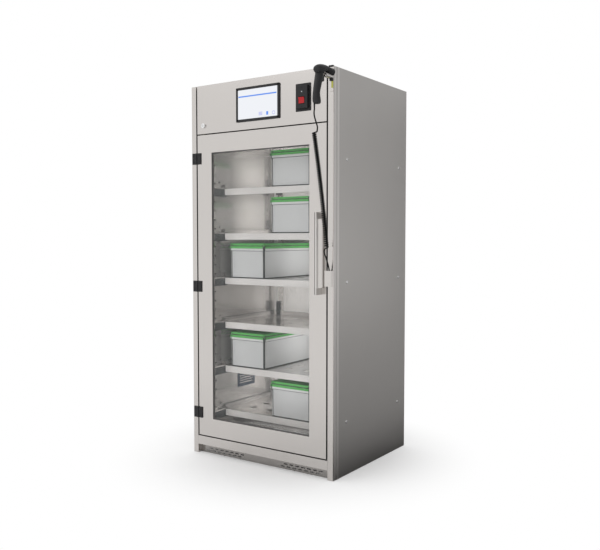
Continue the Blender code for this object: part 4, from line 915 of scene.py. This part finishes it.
# Glass seal: a slim rubber channel round the pane
BEAD_WIDE, BEAD_DEPTH, BEAD_LAP, BEAD_EASE = 0.0045, (0.0040, 0.0145), 0.0020, 0.0004
bead = block("pane_bead", around(0, GLASS_HALF + BEAD_LAP), BEAD_DEPTH,
             inset((GLASS_BOTTOM, GLASS_TOP), SEAT))
with shaping(bead):
    open_through(along_y, BEAD_WIDE)
dressed(round_edges(bead, BEAD_EASE), "door", "seal_rubber", "glass_seal")

# Pull handle: a square bar between end blocks that reach back to the door, with a slim dark strip along the
# bar's left edge, painted shade
HANDLE_X, HANDLE_Z, HANDLE_PROUD, BAR_THICK = (0.374, 0.385), (0.910, 1.309), 0.044, 0.017
HANDLE_BLOCK, HANDLE_ROUND, HANDLE_LINE_WIDE, HANDLE_LINE_RISE = 0.032, 0.0012, 0.003, 0.0004
block_ends = inset(HANDLE_Z, HANDLE_BLOCK)
bar = block("pull_bar", HANDLE_X, (-HANDLE_PROUD, -HANDLE_PROUD + BAR_THICK), block_ends)
dressed(round_edges(bar, HANDLE_ROUND, segments=3), "door", "outer_steel", "door_handle", finish=HANDLE_STEEL)
posts = [round_edges(block("pull_block", HANDLE_X, (-HANDLE_PROUD, -SEAT), span), HANDLE_ROUND, segments=3)
         for span in ((HANDLE_Z[0], block_ends[0]), (block_ends[1], HANDLE_Z[1]))]
dressed(joined(*posts), "door", "outer_steel", finish=SIDE_STEEL)
handle_shade_line = block("pull_shade_line", (HANDLE_X[0], HANDLE_X[0] + HANDLE_LINE_WIDE),
              (-HANDLE_PROUD - HANDLE_LINE_RISE, -HANDLE_PROUD + HANDLE_ROUND), inset(HANDLE_Z, HANDLE_ROUND))
dressed(round_edges(handle_shade_line, HANDLE_LINE_RISE / 2), "door", "black_metal", finish=BRACKET_GREY)

# Hinges: black leaves with knuckles on one pin and two screws each, copied to the three heights
HINGE_X, HINGE_DEPTH, HINGE_HEIGHTS = -0.418, -0.005, (1.612, 0.921, 0.227)
HINGE_HALF, LEAF, LEAF_REACH, LEAF_GAP, LEAF_EASE = 0.030, 0.005, 0.030, 0.001, 0.0010
KNUCKLE_RADIUS, KNUCKLE_SPLIT, KNUCKLE_SIDES, KNUCKLE_EASE = 0.0045, 0.010, 24, 0.0006
PIN_RADIUS, PIN_SIDES, PIN_EASE = 0.0020, 20, 0.0005
ROOM_REACH, ROOM_DEPTH = KNUCKLE_RADIUS + 0.001, (-0.012, 0.001)
HINGE_SCREW_REACH, HINGE_SCREW_LIFT, HINGE_SCREW = 0.019, 0.017, (0.0042, 0.0012)


def on_pin(name, z, radius, sides, ease):
    """A round piece on the line of the pin."""
    ends = [(HINGE_X, HINGE_DEPTH, end) for end in z]
    return round_edges(rod(name, *ends, radius, sides), ease)


def hinge_leaf(name, side, knuckle_spans, room_spans):
    """One leaf on the given side of the pin, with its knuckles, clear of the other leaf's knuckles."""
    leaf = block(name, (HINGE_X + side * LEAF_GAP, HINGE_X + side * LEAF_REACH), (-SEAT - LEAF, -SEAT),
                 around(0, HINGE_HALF))
    for z in room_spans:
        cut(leaf, block("leaf_room", (HINGE_X, HINGE_X + side * ROOM_REACH), ROOM_DEPTH, z))
    round_edges(leaf, LEAF_EASE)
    knuckles = [on_pin("knuckle", z, KNUCKLE_RADIUS, KNUCKLE_SIDES, KNUCKLE_EASE) for z in knuckle_spans]
    screw_x = HINGE_X + side * HINGE_SCREW_REACH
    screws = [screw_head("leaf_screw", (screw_x, -SEAT - LEAF, z), *HINGE_SCREW, (0, -1, 0))
              for z in around(0, HINGE_SCREW_LIFT)]
    return joined(leaf, *knuckles, *screws)


outer = [(-HINGE_HALF, -KNUCKLE_SPLIT - SEAT), (KNUCKLE_SPLIT + SEAT, HINGE_HALF)]
inner = [(-KNUCKLE_SPLIT, KNUCKLE_SPLIT)]
post_leaf = hinge_leaf("post_leaf", -1, inner, [(-HINGE_HALF - SHEET, -KNUCKLE_SPLIT + SEAT),
                                               (KNUCKLE_SPLIT - SEAT, HINGE_HALF + SHEET)])
post_leaf = joined(post_leaf, on_pin("hinge_pin", around(0, HINGE_HALF), PIN_RADIUS, PIN_SIDES, PIN_EASE))
door_leaf = hinge_leaf("door_leaf", 1, outer, [around(0, KNUCKLE_SPLIT + SEAT)])
for number, z in enumerate(HINGE_HEIGHTS, start=1):
    for leaf, name, body in ((post_leaf, "post_leaf", "cabinet"), (door_leaf, "door_leaf", "door")):
        copy = copied(leaf, f"{name}_{number}", (0, 0, z))
        dressed(copy, body, "black_metal", f"hinge_{name}_{number}")
bpy.data.objects.remove(post_leaf)
bpy.data.objects.remove(door_leaf)

# Display: a bezel with round corners, the lit pane, and plain shapes of its screen page
SCREEN_X, SCREEN_Z, BEZEL, BEZEL_PROUD = (-0.139, 0.139), (1.783, 1.958), 0.013, 0.006
BEZEL_CORNER, BEZEL_EASE, SCREEN_POCKET, SCREEN_SINK = 0.004, 0.0008, 0.0025, 0.0002
BACK_INSET, BACK_DEEP, BACK_EASE, PANE_CORNER, PANE_EASE = 0.012, 0.030, 0.0015, 0.0015, 0.0003
bezel = block("display_bezel", SCREEN_X, (-BEZEL_PROUD, -SEAT), SCREEN_Z)
with shaping(bezel):
    pick("EDGE", along_y)
    round_picked(BEZEL_CORNER, segments=5)
    pick("FACE", faces_front)
    inset_picked(BEZEL)
    push((0, SCREEN_POCKET, 0))
display_back = block("display_back", inset(SCREEN_X, BACK_INSET), (-BEZEL_PROUD / 2, BACK_DEEP),
                     inset(SCREEN_Z, BACK_INSET))
bezel = joined(round_edges(bezel, BEZEL_EASE), round_edges(display_back, BACK_EASE))
dressed(bezel, "fascia", "black_plastic", "display_housing")

pane_x, pane_z = inset(SCREEN_X, BEZEL + SEAT), inset(SCREEN_Z, BEZEL + SEAT)
pane_front = -BEZEL_PROUD + SCREEN_SINK
pane = block("display_pane", pane_x, (pane_front, -BEZEL_PROUD + SCREEN_POCKET - SEAT), pane_z)
round_corners(pane, along_y, PANE_CORNER, segments=3)
dressed(round_edges(pane, PANE_EASE), "fascia", "screen_glass", "display_glass")

# Screen page: a bar and three plain marks, thin lit plates on the pane, placed by shares of it
PAGE_LIFT, PAGE_ROUND = 0.00012, 0.0005
PAGE_BAR, PAGE_MARK = ((0.010, 0.206), (0.980, 0.252)), ((0.727, 0.820), (0.776, 0.940))
LIST_ACROSS, LIST_ROWS, LIST_ROW_TALL = (0.535, 0.628), (0.815, 0.858, 0.901), 0.028
RING_CENTRE, RING_RADIUS, RING_BAND, RING_SIDES = (0.910, 0.885), 0.0095, 0.0030, 40
page_depth = (pane_front - PAGE_LIFT, pane_front)


def on_pane(across, down):
    """Point of the pane from its shares of the width and the height, counted from the upper left."""
    return pane_x[0] + across * length(pane_x), pane_z[1] - down * length(pane_z)


def page_plate(name, upper_left, lower_right):
    """A thin plate with round corners between two points given as shares of the pane."""
    left, top = on_pane(*upper_left)
    right, bottom = on_pane(*lower_right)
    plate = block(name, (left, right), page_depth, (bottom, top))
    return smooth(round_corners(plate, along_y, PAGE_ROUND, segments=3))


def page_ring(name, centre, radius, band):
    """A flat ring about a point given as shares of the pane."""
    x, z = on_pane(*centre)
    ring = rod(name, (x, page_depth[1], z), (x, page_depth[0], z), radius, RING_SIDES)
    with shaping(ring):
        open_through(along_y, band)
    return smooth(ring)


list_rows = [page_plate("page_list", (LIST_ACROSS[0], row), (LIST_ACROSS[1], row + LIST_ROW_TALL))
             for row in LIST_ROWS]
dressed(page_plate("page_bar", *PAGE_BAR), "fascia", "screen_glass", finish=PAGE_BLUE)
dressed(page_plate("page_mark", *PAGE_MARK), "fascia", "screen_glass", finish=PAGE_BLUE)
dressed(joined(*list_rows), "fascia", "screen_glass", finish=PAGE_PALE)
ring = page_ring("page_ring", RING_CENTRE, RING_RADIUS, RING_BAND)
dressed(ring, "fascia", "screen_glass", finish=PAGE_PALE)

# Switch: plate, raised block with a well for the rocker, screws and a status lamp
SWITCH_X, SWITCH_Z = (0.236, 0.324), (1.803, 1.937)
SWITCH_THICK, SWITCH_CORNER, SWITCH_EASE = 0.003, 0.003, 0.0006
BLOCK_PROUD, BLOCK_INSET_X, BLOCK_INSET_Z, BLOCK_ROUND = 0.018, 0.010, 0.012, 0.0018
ROCKER_X, ROCKER_Z, ROCKER_ROOM, ROCKER_ROOM_DEPTH = (0.264, 0.296), 1.854, 0.0165, (-0.030, -0.006)
SWITCH_SCREW_INSET, SWITCH_SCREW = 0.021, (0.0032, 0.0009)
LAMP_X, LAMP_Z, LAMP_RADIUS, LAMP_PROUD, LAMP_ROUND, LAMP_SIDES = 0.281, 1.895, 0.0022, 0.0012, 0.0010, 24
plate = block("switch_backing", SWITCH_X, (-SWITCH_THICK - SEAT, -SEAT), SWITCH_Z)
round_edges(round_corners(plate, along_y, SWITCH_CORNER, segments=4), SWITCH_EASE)
switch_block = block("switch_block", inset(SWITCH_X, BLOCK_INSET_X), (-BLOCK_PROUD, -SEAT - SWITCH_THICK / 2),
                     inset(SWITCH_Z, BLOCK_INSET_Z))
well = block("rocker_well", inset(ROCKER_X, -SEAT), ROCKER_ROOM_DEPTH, around(ROCKER_Z, ROCKER_ROOM))
round_edges(cut(switch_block, well), BLOCK_ROUND, segments=3)
screws = [screw_head("switch_screw", (middle(SWITCH_X), -BLOCK_PROUD, z), *SWITCH_SCREW, (0, -1, 0))
          for z in inset(SWITCH_Z, SWITCH_SCREW_INSET)]
dressed(joined(plate, switch_block, *screws), "fascia", "black_plastic", "switch_plate")
lamp = rod("status_lamp", (LAMP_X, -BLOCK_PROUD + SHEET, LAMP_Z), (LAMP_X, -BLOCK_PROUD - LAMP_PROUD, LAMP_Z),
           LAMP_RADIUS, LAMP_SIDES)
with shaping(lamp):
    pick("FACE", faces_front)
    round_picked(LAMP_ROUND, segments=4)
dressed(smooth(lamp), "fascia", "screen_glass")

# Cam lock: a chrome barrel with a stepped face and a keyway
LOCK_X, LOCK_Z, LOCK_RADIUS, LOCK_PROUD, LOCK_SIDES, LOCK_EASE = -0.368, 1.786, 0.013, 0.008, 48, 0.0004
LOCK_RIM, LOCK_SINK, LOCK_GROOVE, LOCK_RISE = 0.0035, 0.0008, 0.0005, 0.0006
KEYWAY_HALF_WIDE, KEYWAY_HALF_TALL, KEYWAY_DEEP = 0.001, 0.005, 0.003
BARREL_RADIUS, BARREL_BACK, BARREL_SIDES, BARREL_EASE = 0.009, 0.022, 40, 0.0005
barrel = rod("lock_face", (LOCK_X, -SEAT, LOCK_Z), (LOCK_X, -LOCK_PROUD, LOCK_Z), LOCK_RADIUS, LOCK_SIDES)
with shaping(barrel):
    pick("FACE", faces_front)
    inset_picked(LOCK_RIM)
    push((0, LOCK_SINK, 0))
    inset_picked(LOCK_GROOVE)
    push((0, -LOCK_RISE, 0))
keyway = block("keyway", around(LOCK_X, KEYWAY_HALF_WIDE), (-LOCK_PROUD - SHEET, -LOCK_PROUD + KEYWAY_DEEP),
               around(LOCK_Z, KEYWAY_HALF_TALL))
round_edges(cut(barrel, keyway), LOCK_EASE)
stem = rod("lock_stem", (LOCK_X, -LOCK_PROUD / 2, LOCK_Z), (LOCK_X, BARREL_BACK, LOCK_Z), BARREL_RADIUS,
           BARREL_SIDES)
dressed(joined(barrel, round_edges(stem, BARREL_EASE)), "fascia", "lock_chrome", "lock_barrel")

# Hand scanner: head and grip grown ring by ring, the trigger in its well, and a ribbed strain relief
CORNER_SHARE, SMOOTH_LEVELS = 28, 2
SIDE_ON, LEVEL = (math.pi / 2, 0, 0), (0, 0, 0)
# Rings of the head: depth, half width, lowest and highest point
HEAD_RINGS = [(-0.1370, 0.0120, 1.9560, 1.9720), (-0.1330, 0.0200, 1.9490, 1.9790),
              (-0.1200, 0.0250, 1.9420, 1.9860), (-0.1000, 0.0270, 1.9400, 1.9905),
              (-0.0800, 0.0265, 1.9550, 1.9910), (-0.0600, 0.0250, 1.9650, 1.9890),
              (-0.0420, 0.0240, 1.9610, 1.9865), (-0.0300, 0.0250, 1.9550, 1.9865),
              (-0.0140, 0.0265, 1.9480, 1.9875), (-0.0110, 0.0265, 1.9475, 1.9875),
              (-0.0100, 0.0260, 1.9478, 1.9872)]
WINDOW_RIM, WINDOW_DEEP, WINDOW_EDGE = 0.0030, 0.0040, 0.0010
# Rings of the grip: height, lean to the side, depth, half width and half depth
GRIP_RINGS = [(1.9650, -0.0025, -0.1000, 0.0200, 0.0215), (1.9420, -0.0035, -0.1040, 0.0205, 0.0210),
              (1.9000, -0.0045, -0.1150, 0.0190, 0.0190), (1.8700, -0.0055, -0.1225, 0.0175, 0.0175),
              (1.8500, -0.0060, -0.1260, 0.0170, 0.0170), (1.8300, -0.0060, -0.1235, 0.0195, 0.0200),
              (1.8140, -0.0055, -0.1220, 0.0195, 0.0200), (1.8030, -0.0045, -0.1200, 0.0160, 0.0165)]
TRIGGER_HALF, TRIGGER_Z, WELL_DEPTH = 0.007, (1.912, 1.938), (-0.098, -0.050)
TRIGGER_ROOM, TRIGGER_PROUD, TRIGGER_ROUND, TRIGGER_EASE = 0.005, -0.0775, 0.006, 0.0008
RELIEF_TOP, RELIEF_RADIUS, RELIEF_SIDES, RELIEF_TAPER = 1.808, 0.0052, 24, 0.65
RIB_PITCH, RIB_CUTS, RIB_NECK = 0.004, 5, 0.78


def grown(name, turn, rings):
    """A closed round-cornered form grown by extruding a square; each ring is a centre and two half sizes."""
    centre, half = rings[0]
    bpy.ops.object.select_all(action="DESELECT")
    bpy.ops.mesh.primitive_plane_add(size=2, location=place(*centre), rotation=turn)
    bpy.context.object.scale = (*half, 1)
    form = settle(name)
    with shaping(form):
        bpy.ops.mesh.select_all(action="SELECT")
        bpy.ops.mesh.bevel(offset_type="PERCENT", offset_pct=CORNER_SHARE, affect="VERTICES")
        for (before, old), (after, new) in zip(rings, rings[1:]):
            push(place(*after) - place(*before))
            ratio = (new[0] / old[0], new[1] / old[1])
            widen((ratio[0], 1, ratio[1]) if turn[0] else (*ratio, 1), place(*after))
        bpy.ops.mesh.select_all(action="SELECT")
        bpy.ops.mesh.normals_make_consistent(inside=False)
    return form


head = grown("scanner_shell", SIDE_ON, [((SCANNER_X, depth, middle((low, high))), (half, (high - low) / 2))
                                        for depth, half, low, high in HEAD_RINGS])
with shaping(head):
    pick("FACE", lambda where, way: way.y > ALONG and near(where.y, FRONT + HEAD_RINGS[-1][0]))
    inset_picked(WINDOW_RIM)
    push((0, -WINDOW_DEEP, 0))
    inset_picked(WINDOW_EDGE)
finish_with(head, "SUBSURF", levels=SMOOTH_LEVELS, render_levels=SMOOTH_LEVELS)
grip = grown("scanner_grip", LEVEL, [((SCANNER_X + lean, depth, z), (across, deep))
                                     for z, lean, depth, across, deep in GRIP_RINGS])
finish_with(grip, "SUBSURF", levels=SMOOTH_LEVELS, render_levels=SMOOTH_LEVELS)
cut(grip, block("trigger_well", around(SCANNER_X, TRIGGER_HALF + SEAT), WELL_DEPTH, inset(TRIGGER_Z, -SEAT)))
trigger = block("trigger_key", around(SCANNER_X, TRIGGER_HALF), (WELL_DEPTH[0] + TRIGGER_ROOM, TRIGGER_PROUD),
                TRIGGER_Z)
round_corners(trigger, lambda where, way: along_x(where, way) and near(where.y, FRONT + TRIGGER_PROUD),
              TRIGGER_ROUND, segments=5)
dressed(round_edges(trigger, TRIGGER_EASE), "trigger", "black_plastic", "scanner_trigger")
relief = rod("strain_relief", (RELIEF_X, RELIEF_DEPTH, RELIEF_TOP), (RELIEF_X, RELIEF_DEPTH, RELIEF_FOOT),
             RELIEF_RADIUS, RELIEF_SIDES)
rib_heights = [RELIEF_FOOT + RIB_PITCH * step for step in range(1, RIB_CUTS + 1)]
with shaping(relief):
    pick("FACE", faces_down)
    widen((RELIEF_TAPER, RELIEF_TAPER, 1), place(RELIEF_X, RELIEF_DEPTH, RELIEF_FOOT))
    for z in rib_heights:
        bpy.ops.mesh.select_all(action="SELECT")
        bpy.ops.mesh.bisect(plane_co=(0, 0, z), plane_no=(0, 0, 1))
    for z in rib_heights[::2]:
        pick("EDGE", lambda where, way: near(where.z, z))
        widen((RIB_NECK, RIB_NECK, 1), place(RELIEF_X, RELIEF_DEPTH, z))
scanner = joined(smooth(head, angle=40), smooth(grip, angle=40), smooth(relief, angle=60))
dressed(scanner, "cabinet", "black_plastic", "scanner_body")

# Holder: a plate on the post, a socket and a saddle that carry the scanner's head
HOLDER_X, HOLDER_Z = (0.430, 0.4535), (1.880, 1.985)
HOLDER_PLATE, HOLDER_CORNER, HOLDER_EASE = 0.003, 0.006, 0.0006
SOCKET_X, SOCKET_Z, SOCKET_RADIUS, SOCKET_REACH, SOCKET_SIDES = 0.443, 1.949, 0.0135, 0.066, 40
SOCKET_WALL, SOCKET_DEEP, SOCKET_EASE = 0.0035, 0.012, 0.0010
SADDLE_X, SADDLE_FOOT, SADDLE_TOP, SADDLE_REACH = (0.427, 0.455), 1.940, 1.9477, 0.030
SADDLE_CORNER, SADDLE_EASE = 0.005, 0.0008
holder = block("holder_plate", HOLDER_X, (-HOLDER_PLATE - SEAT, -SEAT), HOLDER_Z)
round_corners(holder, along_y, HOLDER_CORNER, segments=5)
plate_middle = -SEAT - HOLDER_PLATE / 2
socket = rod("holder_socket", (SOCKET_X, plate_middle, SOCKET_Z), (SOCKET_X, -SOCKET_REACH, SOCKET_Z),
             SOCKET_RADIUS, SOCKET_SIDES)
with shaping(socket):
    pick("FACE", faces_front)
    inset_picked(SOCKET_WALL)
    push((0, SOCKET_DEEP, 0))
saddle = block("holder_saddle", SADDLE_X, (-SADDLE_REACH, plate_middle), (SADDLE_FOOT, SADDLE_TOP))
round_corners(saddle, lambda where, way: along_y(where, way) and where.z < SADDLE_TOP - SEAT,
              SADDLE_CORNER, segments=4)
holder = joined(round_edges(holder, HOLDER_EASE), round_edges(socket, SOCKET_EASE, segments=3),
                round_edges(saddle, SADDLE_EASE))
dressed(holder, "cabinet", "outer_steel", "scanner_holder")

# Sensor block under the holder with a glowing plate below it, a painted glow of light, and a dark hook over
# the top edge
SENSOR_X, SENSOR_DEPTH, SENSOR_Z, SENSOR_ROUND = (0.4390, 0.4550), (-0.0170, -0.0034), (1.927, 1.941), 0.0020
GLOW_X, GLOW_Z, GLOW_RISE, GLOW_EASE = (0.4425, 0.4530), (1.896, 1.927), 0.0012, 0.0005
HOOK_X, HOOK_DEPTH, HOOK_HALF_TALL, HOOK_ROUND = (0.4265, 0.4510), (-0.0040, 0.0100), 0.0042, 0.0020
sensor = round_edges(block("holder_sensor", SENSOR_X, SENSOR_DEPTH, SENSOR_Z), SENSOR_ROUND, segments=3)
dressed(sensor, "cabinet", "black_plastic")
glow_foot = -HOLDER_PLATE - SEAT
glow_plate = block("painted_glow", GLOW_X, (glow_foot - GLOW_RISE, glow_foot), GLOW_Z)
dressed(round_edges(glow_plate, GLOW_EASE), "cabinet", "screen_glass", finish=GLOW_GREEN)
top_hook = block("holder_hook", HOOK_X, HOOK_DEPTH, around(HEIGHT, HOOK_HALF_TALL))
dressed(round_edges(top_hook, HOOK_ROUND, segments=3), "cabinet", "black_plastic")


# Stage: a white floor that keeps the shadow, dark cards that only mirrors see, a studio sky and soft lamps
def flat(name, size, where, turn=(0, 0, 0), stretch=(1, 1)):
    """A flat square of the stage, which may be stretched."""
    bpy.ops.object.select_all(action="DESELECT")
    bpy.ops.mesh.primitive_plane_add(size=size, location=where, rotation=turn)
    card = bpy.context.object
    card.scale = (*stretch, 1)
    card.name = name
    return card


def matt(name):
    """A material with no shine, its nodes and its shader."""
    material = bpy.data.materials.new(name)
    material.use_nodes = True
    shader = material.node_tree.nodes["Principled BSDF"]
    set_input(shader, "Roughness", 1.0)
    set_input(shader, "Specular IOR Level", 0.0)
    return material, material.node_tree, shader


def sums(tree, operation, first, second):
    """The result of a Math node on two sockets."""
    made = add_node(tree, "ShaderNodeMath", operation=operation)
    tree.links.new(first, made.inputs[0])
    tree.links.new(second, made.inputs[1])
    return made.outputs[0]


scene = bpy.context.scene
scene.view_settings.view_transform = "Standard"

# The floor turns white away from the cabinet, nearer for the camera than for mirrors and glass
FLOOR_SIZE, FLOOR_DROP, FLOOR_COLOUR = 80, 0.0005, (0.93, 0.93, 0.93, 1)
SEEN_WHITE, MIRRORED_WHITE = (0.3, 1.05), (1.2, 3.5)
floor = flat("floor", FLOOR_SIZE, (0, 0, -FLOOR_DROP))
floor_finish, paper, paper_shader = matt("floor_paper")
set_input(paper_shader, "Base Color", FLOOR_COLOUR)
spot = add_node(paper, "ShaderNodeTexCoord")
away = add_node(paper, "ShaderNodeVectorMath", operation="LENGTH")
paper.links.new(spot.outputs["Object"], away.inputs[0])
path = add_node(paper, "ShaderNodeLightPath")
mirrored_ray = sums(paper, "MAXIMUM", path.outputs["Is Glossy Ray"], path.outputs["Is Transmission Ray"])
shares = []
for ray, distances in ((path.outputs["Is Camera Ray"], SEEN_WHITE), (mirrored_ray, MIRRORED_WHITE)):
    far = ramp(paper, away.outputs["Value"], distances, kind="SMOOTHSTEP")
    shares.append(sums(paper, "MULTIPLY", far, ray))
white = add_node(paper, "ShaderNodeEmission")
blend_floor = add_node(paper, "ShaderNodeMixShader")
for number, source in enumerate((sums(paper, "MAXIMUM", *shares), paper_shader.outputs[0], white.outputs[0])):
    paper.links.new(source, blend_floor.inputs[number])
paper.links.new(blend_floor.outputs[0], paper.nodes["Material Output"].inputs["Surface"])
floor.data.materials.append(floor_finish)

# Dark mat on the floor to the right of the cabinet, lighter away from it
MAT_HALF, MAT_Y, MAT_LIFT, MAT_FADE, MAT_TONES = 4, 3.0, 0.0005, 0.5, (0.06, 0.33)
mat_finish, mat_tree, mat_shader = matt("dark_mat")
tone = ramp(mat_tree, object_axis(mat_tree, "X"), (-MAT_HALF, -MAT_HALF + MAT_FADE), MAT_TONES)
mat_tree.links.new(tone, mat_shader.inputs["Base Color"])


def only_mirrored(card):
    """Give a dark card its material and hide it from all but mirrors."""
    card.data.materials.append(mat_finish)
    card.visible_camera = card.visible_diffuse = card.visible_shadow = card.visible_transmission = False


only_mirrored(flat("dark_mat", 2 * MAT_HALF, (WIDTH / 2 + MAT_HALF, MAT_Y, MAT_LIFT)))

# Dark card behind the cabinet, so that the side panels darken towards their rear
CARD_PLACE, CARD_SIZE = (0.90, 1.80, 1.10), (0.90, 2.20)
only_mirrored(flat("dark_card", 1, CARD_PLACE, turn=(math.pi / 2, 0, 0), stretch=CARD_SIZE))

# Dark flags between the wall bins and the left wall, so that the wall mirrors no bin front
FLAG_X, FLAG_DEPTH = -0.402, (0.09, 0.26)
for shelf_index, left in BIN_PLACES:
    if left == WALL_LEFT:
        row_middle = place(FLAG_X, middle(FLAG_DEPTH), SHELF_TOPS[shelf_index] + SHELF_PITCH / 2)
        only_mirrored(flat("dark_flag", 1, row_middle, turn=(0, math.pi / 2, 0),
                           stretch=(SHELF_PITCH, length(FLAG_DEPTH))))

# White sky that is darker to the right of the cabinet, except where the camera looks straight at it
DARK_TURN, DARK_SPREAD = math.radians(75), (0.10, 0.70)
SKY_WHITE, SKY_DARK = (1.0, 1.0, 1.0, 1), (0.48, 0.48, 0.48, 1)
world = bpy.data.worlds.new("studio")
scene.world = world
world.use_nodes = True
sky = world.node_tree
direction = add_node(sky, "ShaderNodeTexCoord")
towards = add_node(sky, "ShaderNodeVectorMath", operation="DOT_PRODUCT")
towards.inputs[1].default_value = (math.sin(DARK_TURN), math.cos(DARK_TURN), 0)
sky.links.new(direction.outputs["Generated"], towards.inputs[0])
fade = ramp(sky, towards.outputs["Value"], DARK_SPREAD, kind="SMOOTHSTEP")
sky_path = add_node(sky, "ShaderNodeLightPath")
unseen = sums(sky, "SUBTRACT", fade, sky_path.outputs["Is Camera Ray"])
unseen.node.use_clamp = True
tone = add_node(sky, "ShaderNodeMix", data_type="RGBA")
tone.inputs[MIX_A].default_value = SKY_WHITE
tone.inputs[MIX_B].default_value = SKY_DARK
sky.links.new(unseen, tone.inputs[0])
sky.links.new(tone.outputs[MIX_RESULT], sky.nodes["Background"].inputs["Color"])


def soft_lamp(name, size, energy, where, aim, mirrored=False):
    """A soft rectangular lamp that points at a place and isn't itself seen, nor mirrored unless wanted."""
    lamp = bpy.data.objects.new(name, bpy.data.lights.new(name, "AREA"))
    lamp.data.shape = "RECTANGLE"
    lamp.data.size, lamp.data.size_y = size
    lamp.data.energy = energy
    lamp.location = where
    lamp.rotation_euler = (Vector(aim) - Vector(where)).to_track_quat("-Z", "Y").to_euler()
    lamp.visible_camera = False
    lamp.visible_glossy = mirrored
    scene.collection.objects.link(lamp)


soft_lamp("key_lamp", size=(3.0, 3.0), energy=25, where=(-2.5, -3.0, 4.5), aim=(0, 0, 0.8), mirrored=True)
soft_lamp("fill_lamp", size=(1.5, 2.0), energy=32, where=(3.2, -3.2, 1.3), aim=(0, 0, 1.0))
# Lamps behind the door's stiles: x, depth, and the x and depth of what they point at
JAMB_SIZE, JAMB_PLACE, JAMB_AIM = (0.04, 1.6), (0.40, 0.06), (-0.05, 0.60)
chamber_middle = middle((CHAMBER_FLOOR, CHAMBER_CEILING))
for side, energy in ((-1, 1.5), (1, 1.2)):
    where, aim = (place(side * x, depth, chamber_middle) for x, depth in (JAMB_PLACE, JAMB_AIM))
    soft_lamp("jamb_lamp", JAMB_SIZE, energy, where, aim)
# One lamp over each shelf, by where its bin stands: place, aim and energy
ROW_SIZE, ROW_LIFT = (0.20, 0.10), 0.11
ROW_LAMPS = {MIDDLE_LEFT: ((MIDDLE_LEFT - 0.01, 0.50), (-0.44, 0.60), 1.5),
             WALL_LEFT: ((0.10, 0.60), (-0.15, 0.58), 0.7),
             None: ((-0.26, 0.52), (-0.26, 0.74), 0.35)}
bin_left = dict(BIN_PLACES)
for shelf_index, top in enumerate(SHELF_TOPS):
    spot, aim, energy = ROW_LAMPS[bin_left.get(shelf_index)]
    soft_lamp("row_lamp", ROW_SIZE, energy, place(*spot, top + ROW_LIFT), place(*aim, top + ROW_LIFT))
# Weak lamps in front of the top and bottom bins, and one under the lowest shelf
FRONT_LAMP, FRONT_AIM = (0.03, 0.07), (0.03, 0.24)
for top, energy in ((SHELF_TOPS[0], 0.09), (SHELF_TOPS[-1], 0.11)):
    where, aim = (place(*spot, top + ROW_LIFT) for spot in (FRONT_LAMP, FRONT_AIM))
    soft_lamp("front_lamp", ROW_SIZE, energy, where, aim)
soft_lamp("floor_lamp", size=(0.7, 0.06), energy=0.4, where=place(0, 0.36, 0.155),
          aim=place(0, 0.34, CHAMBER_FLOOR))
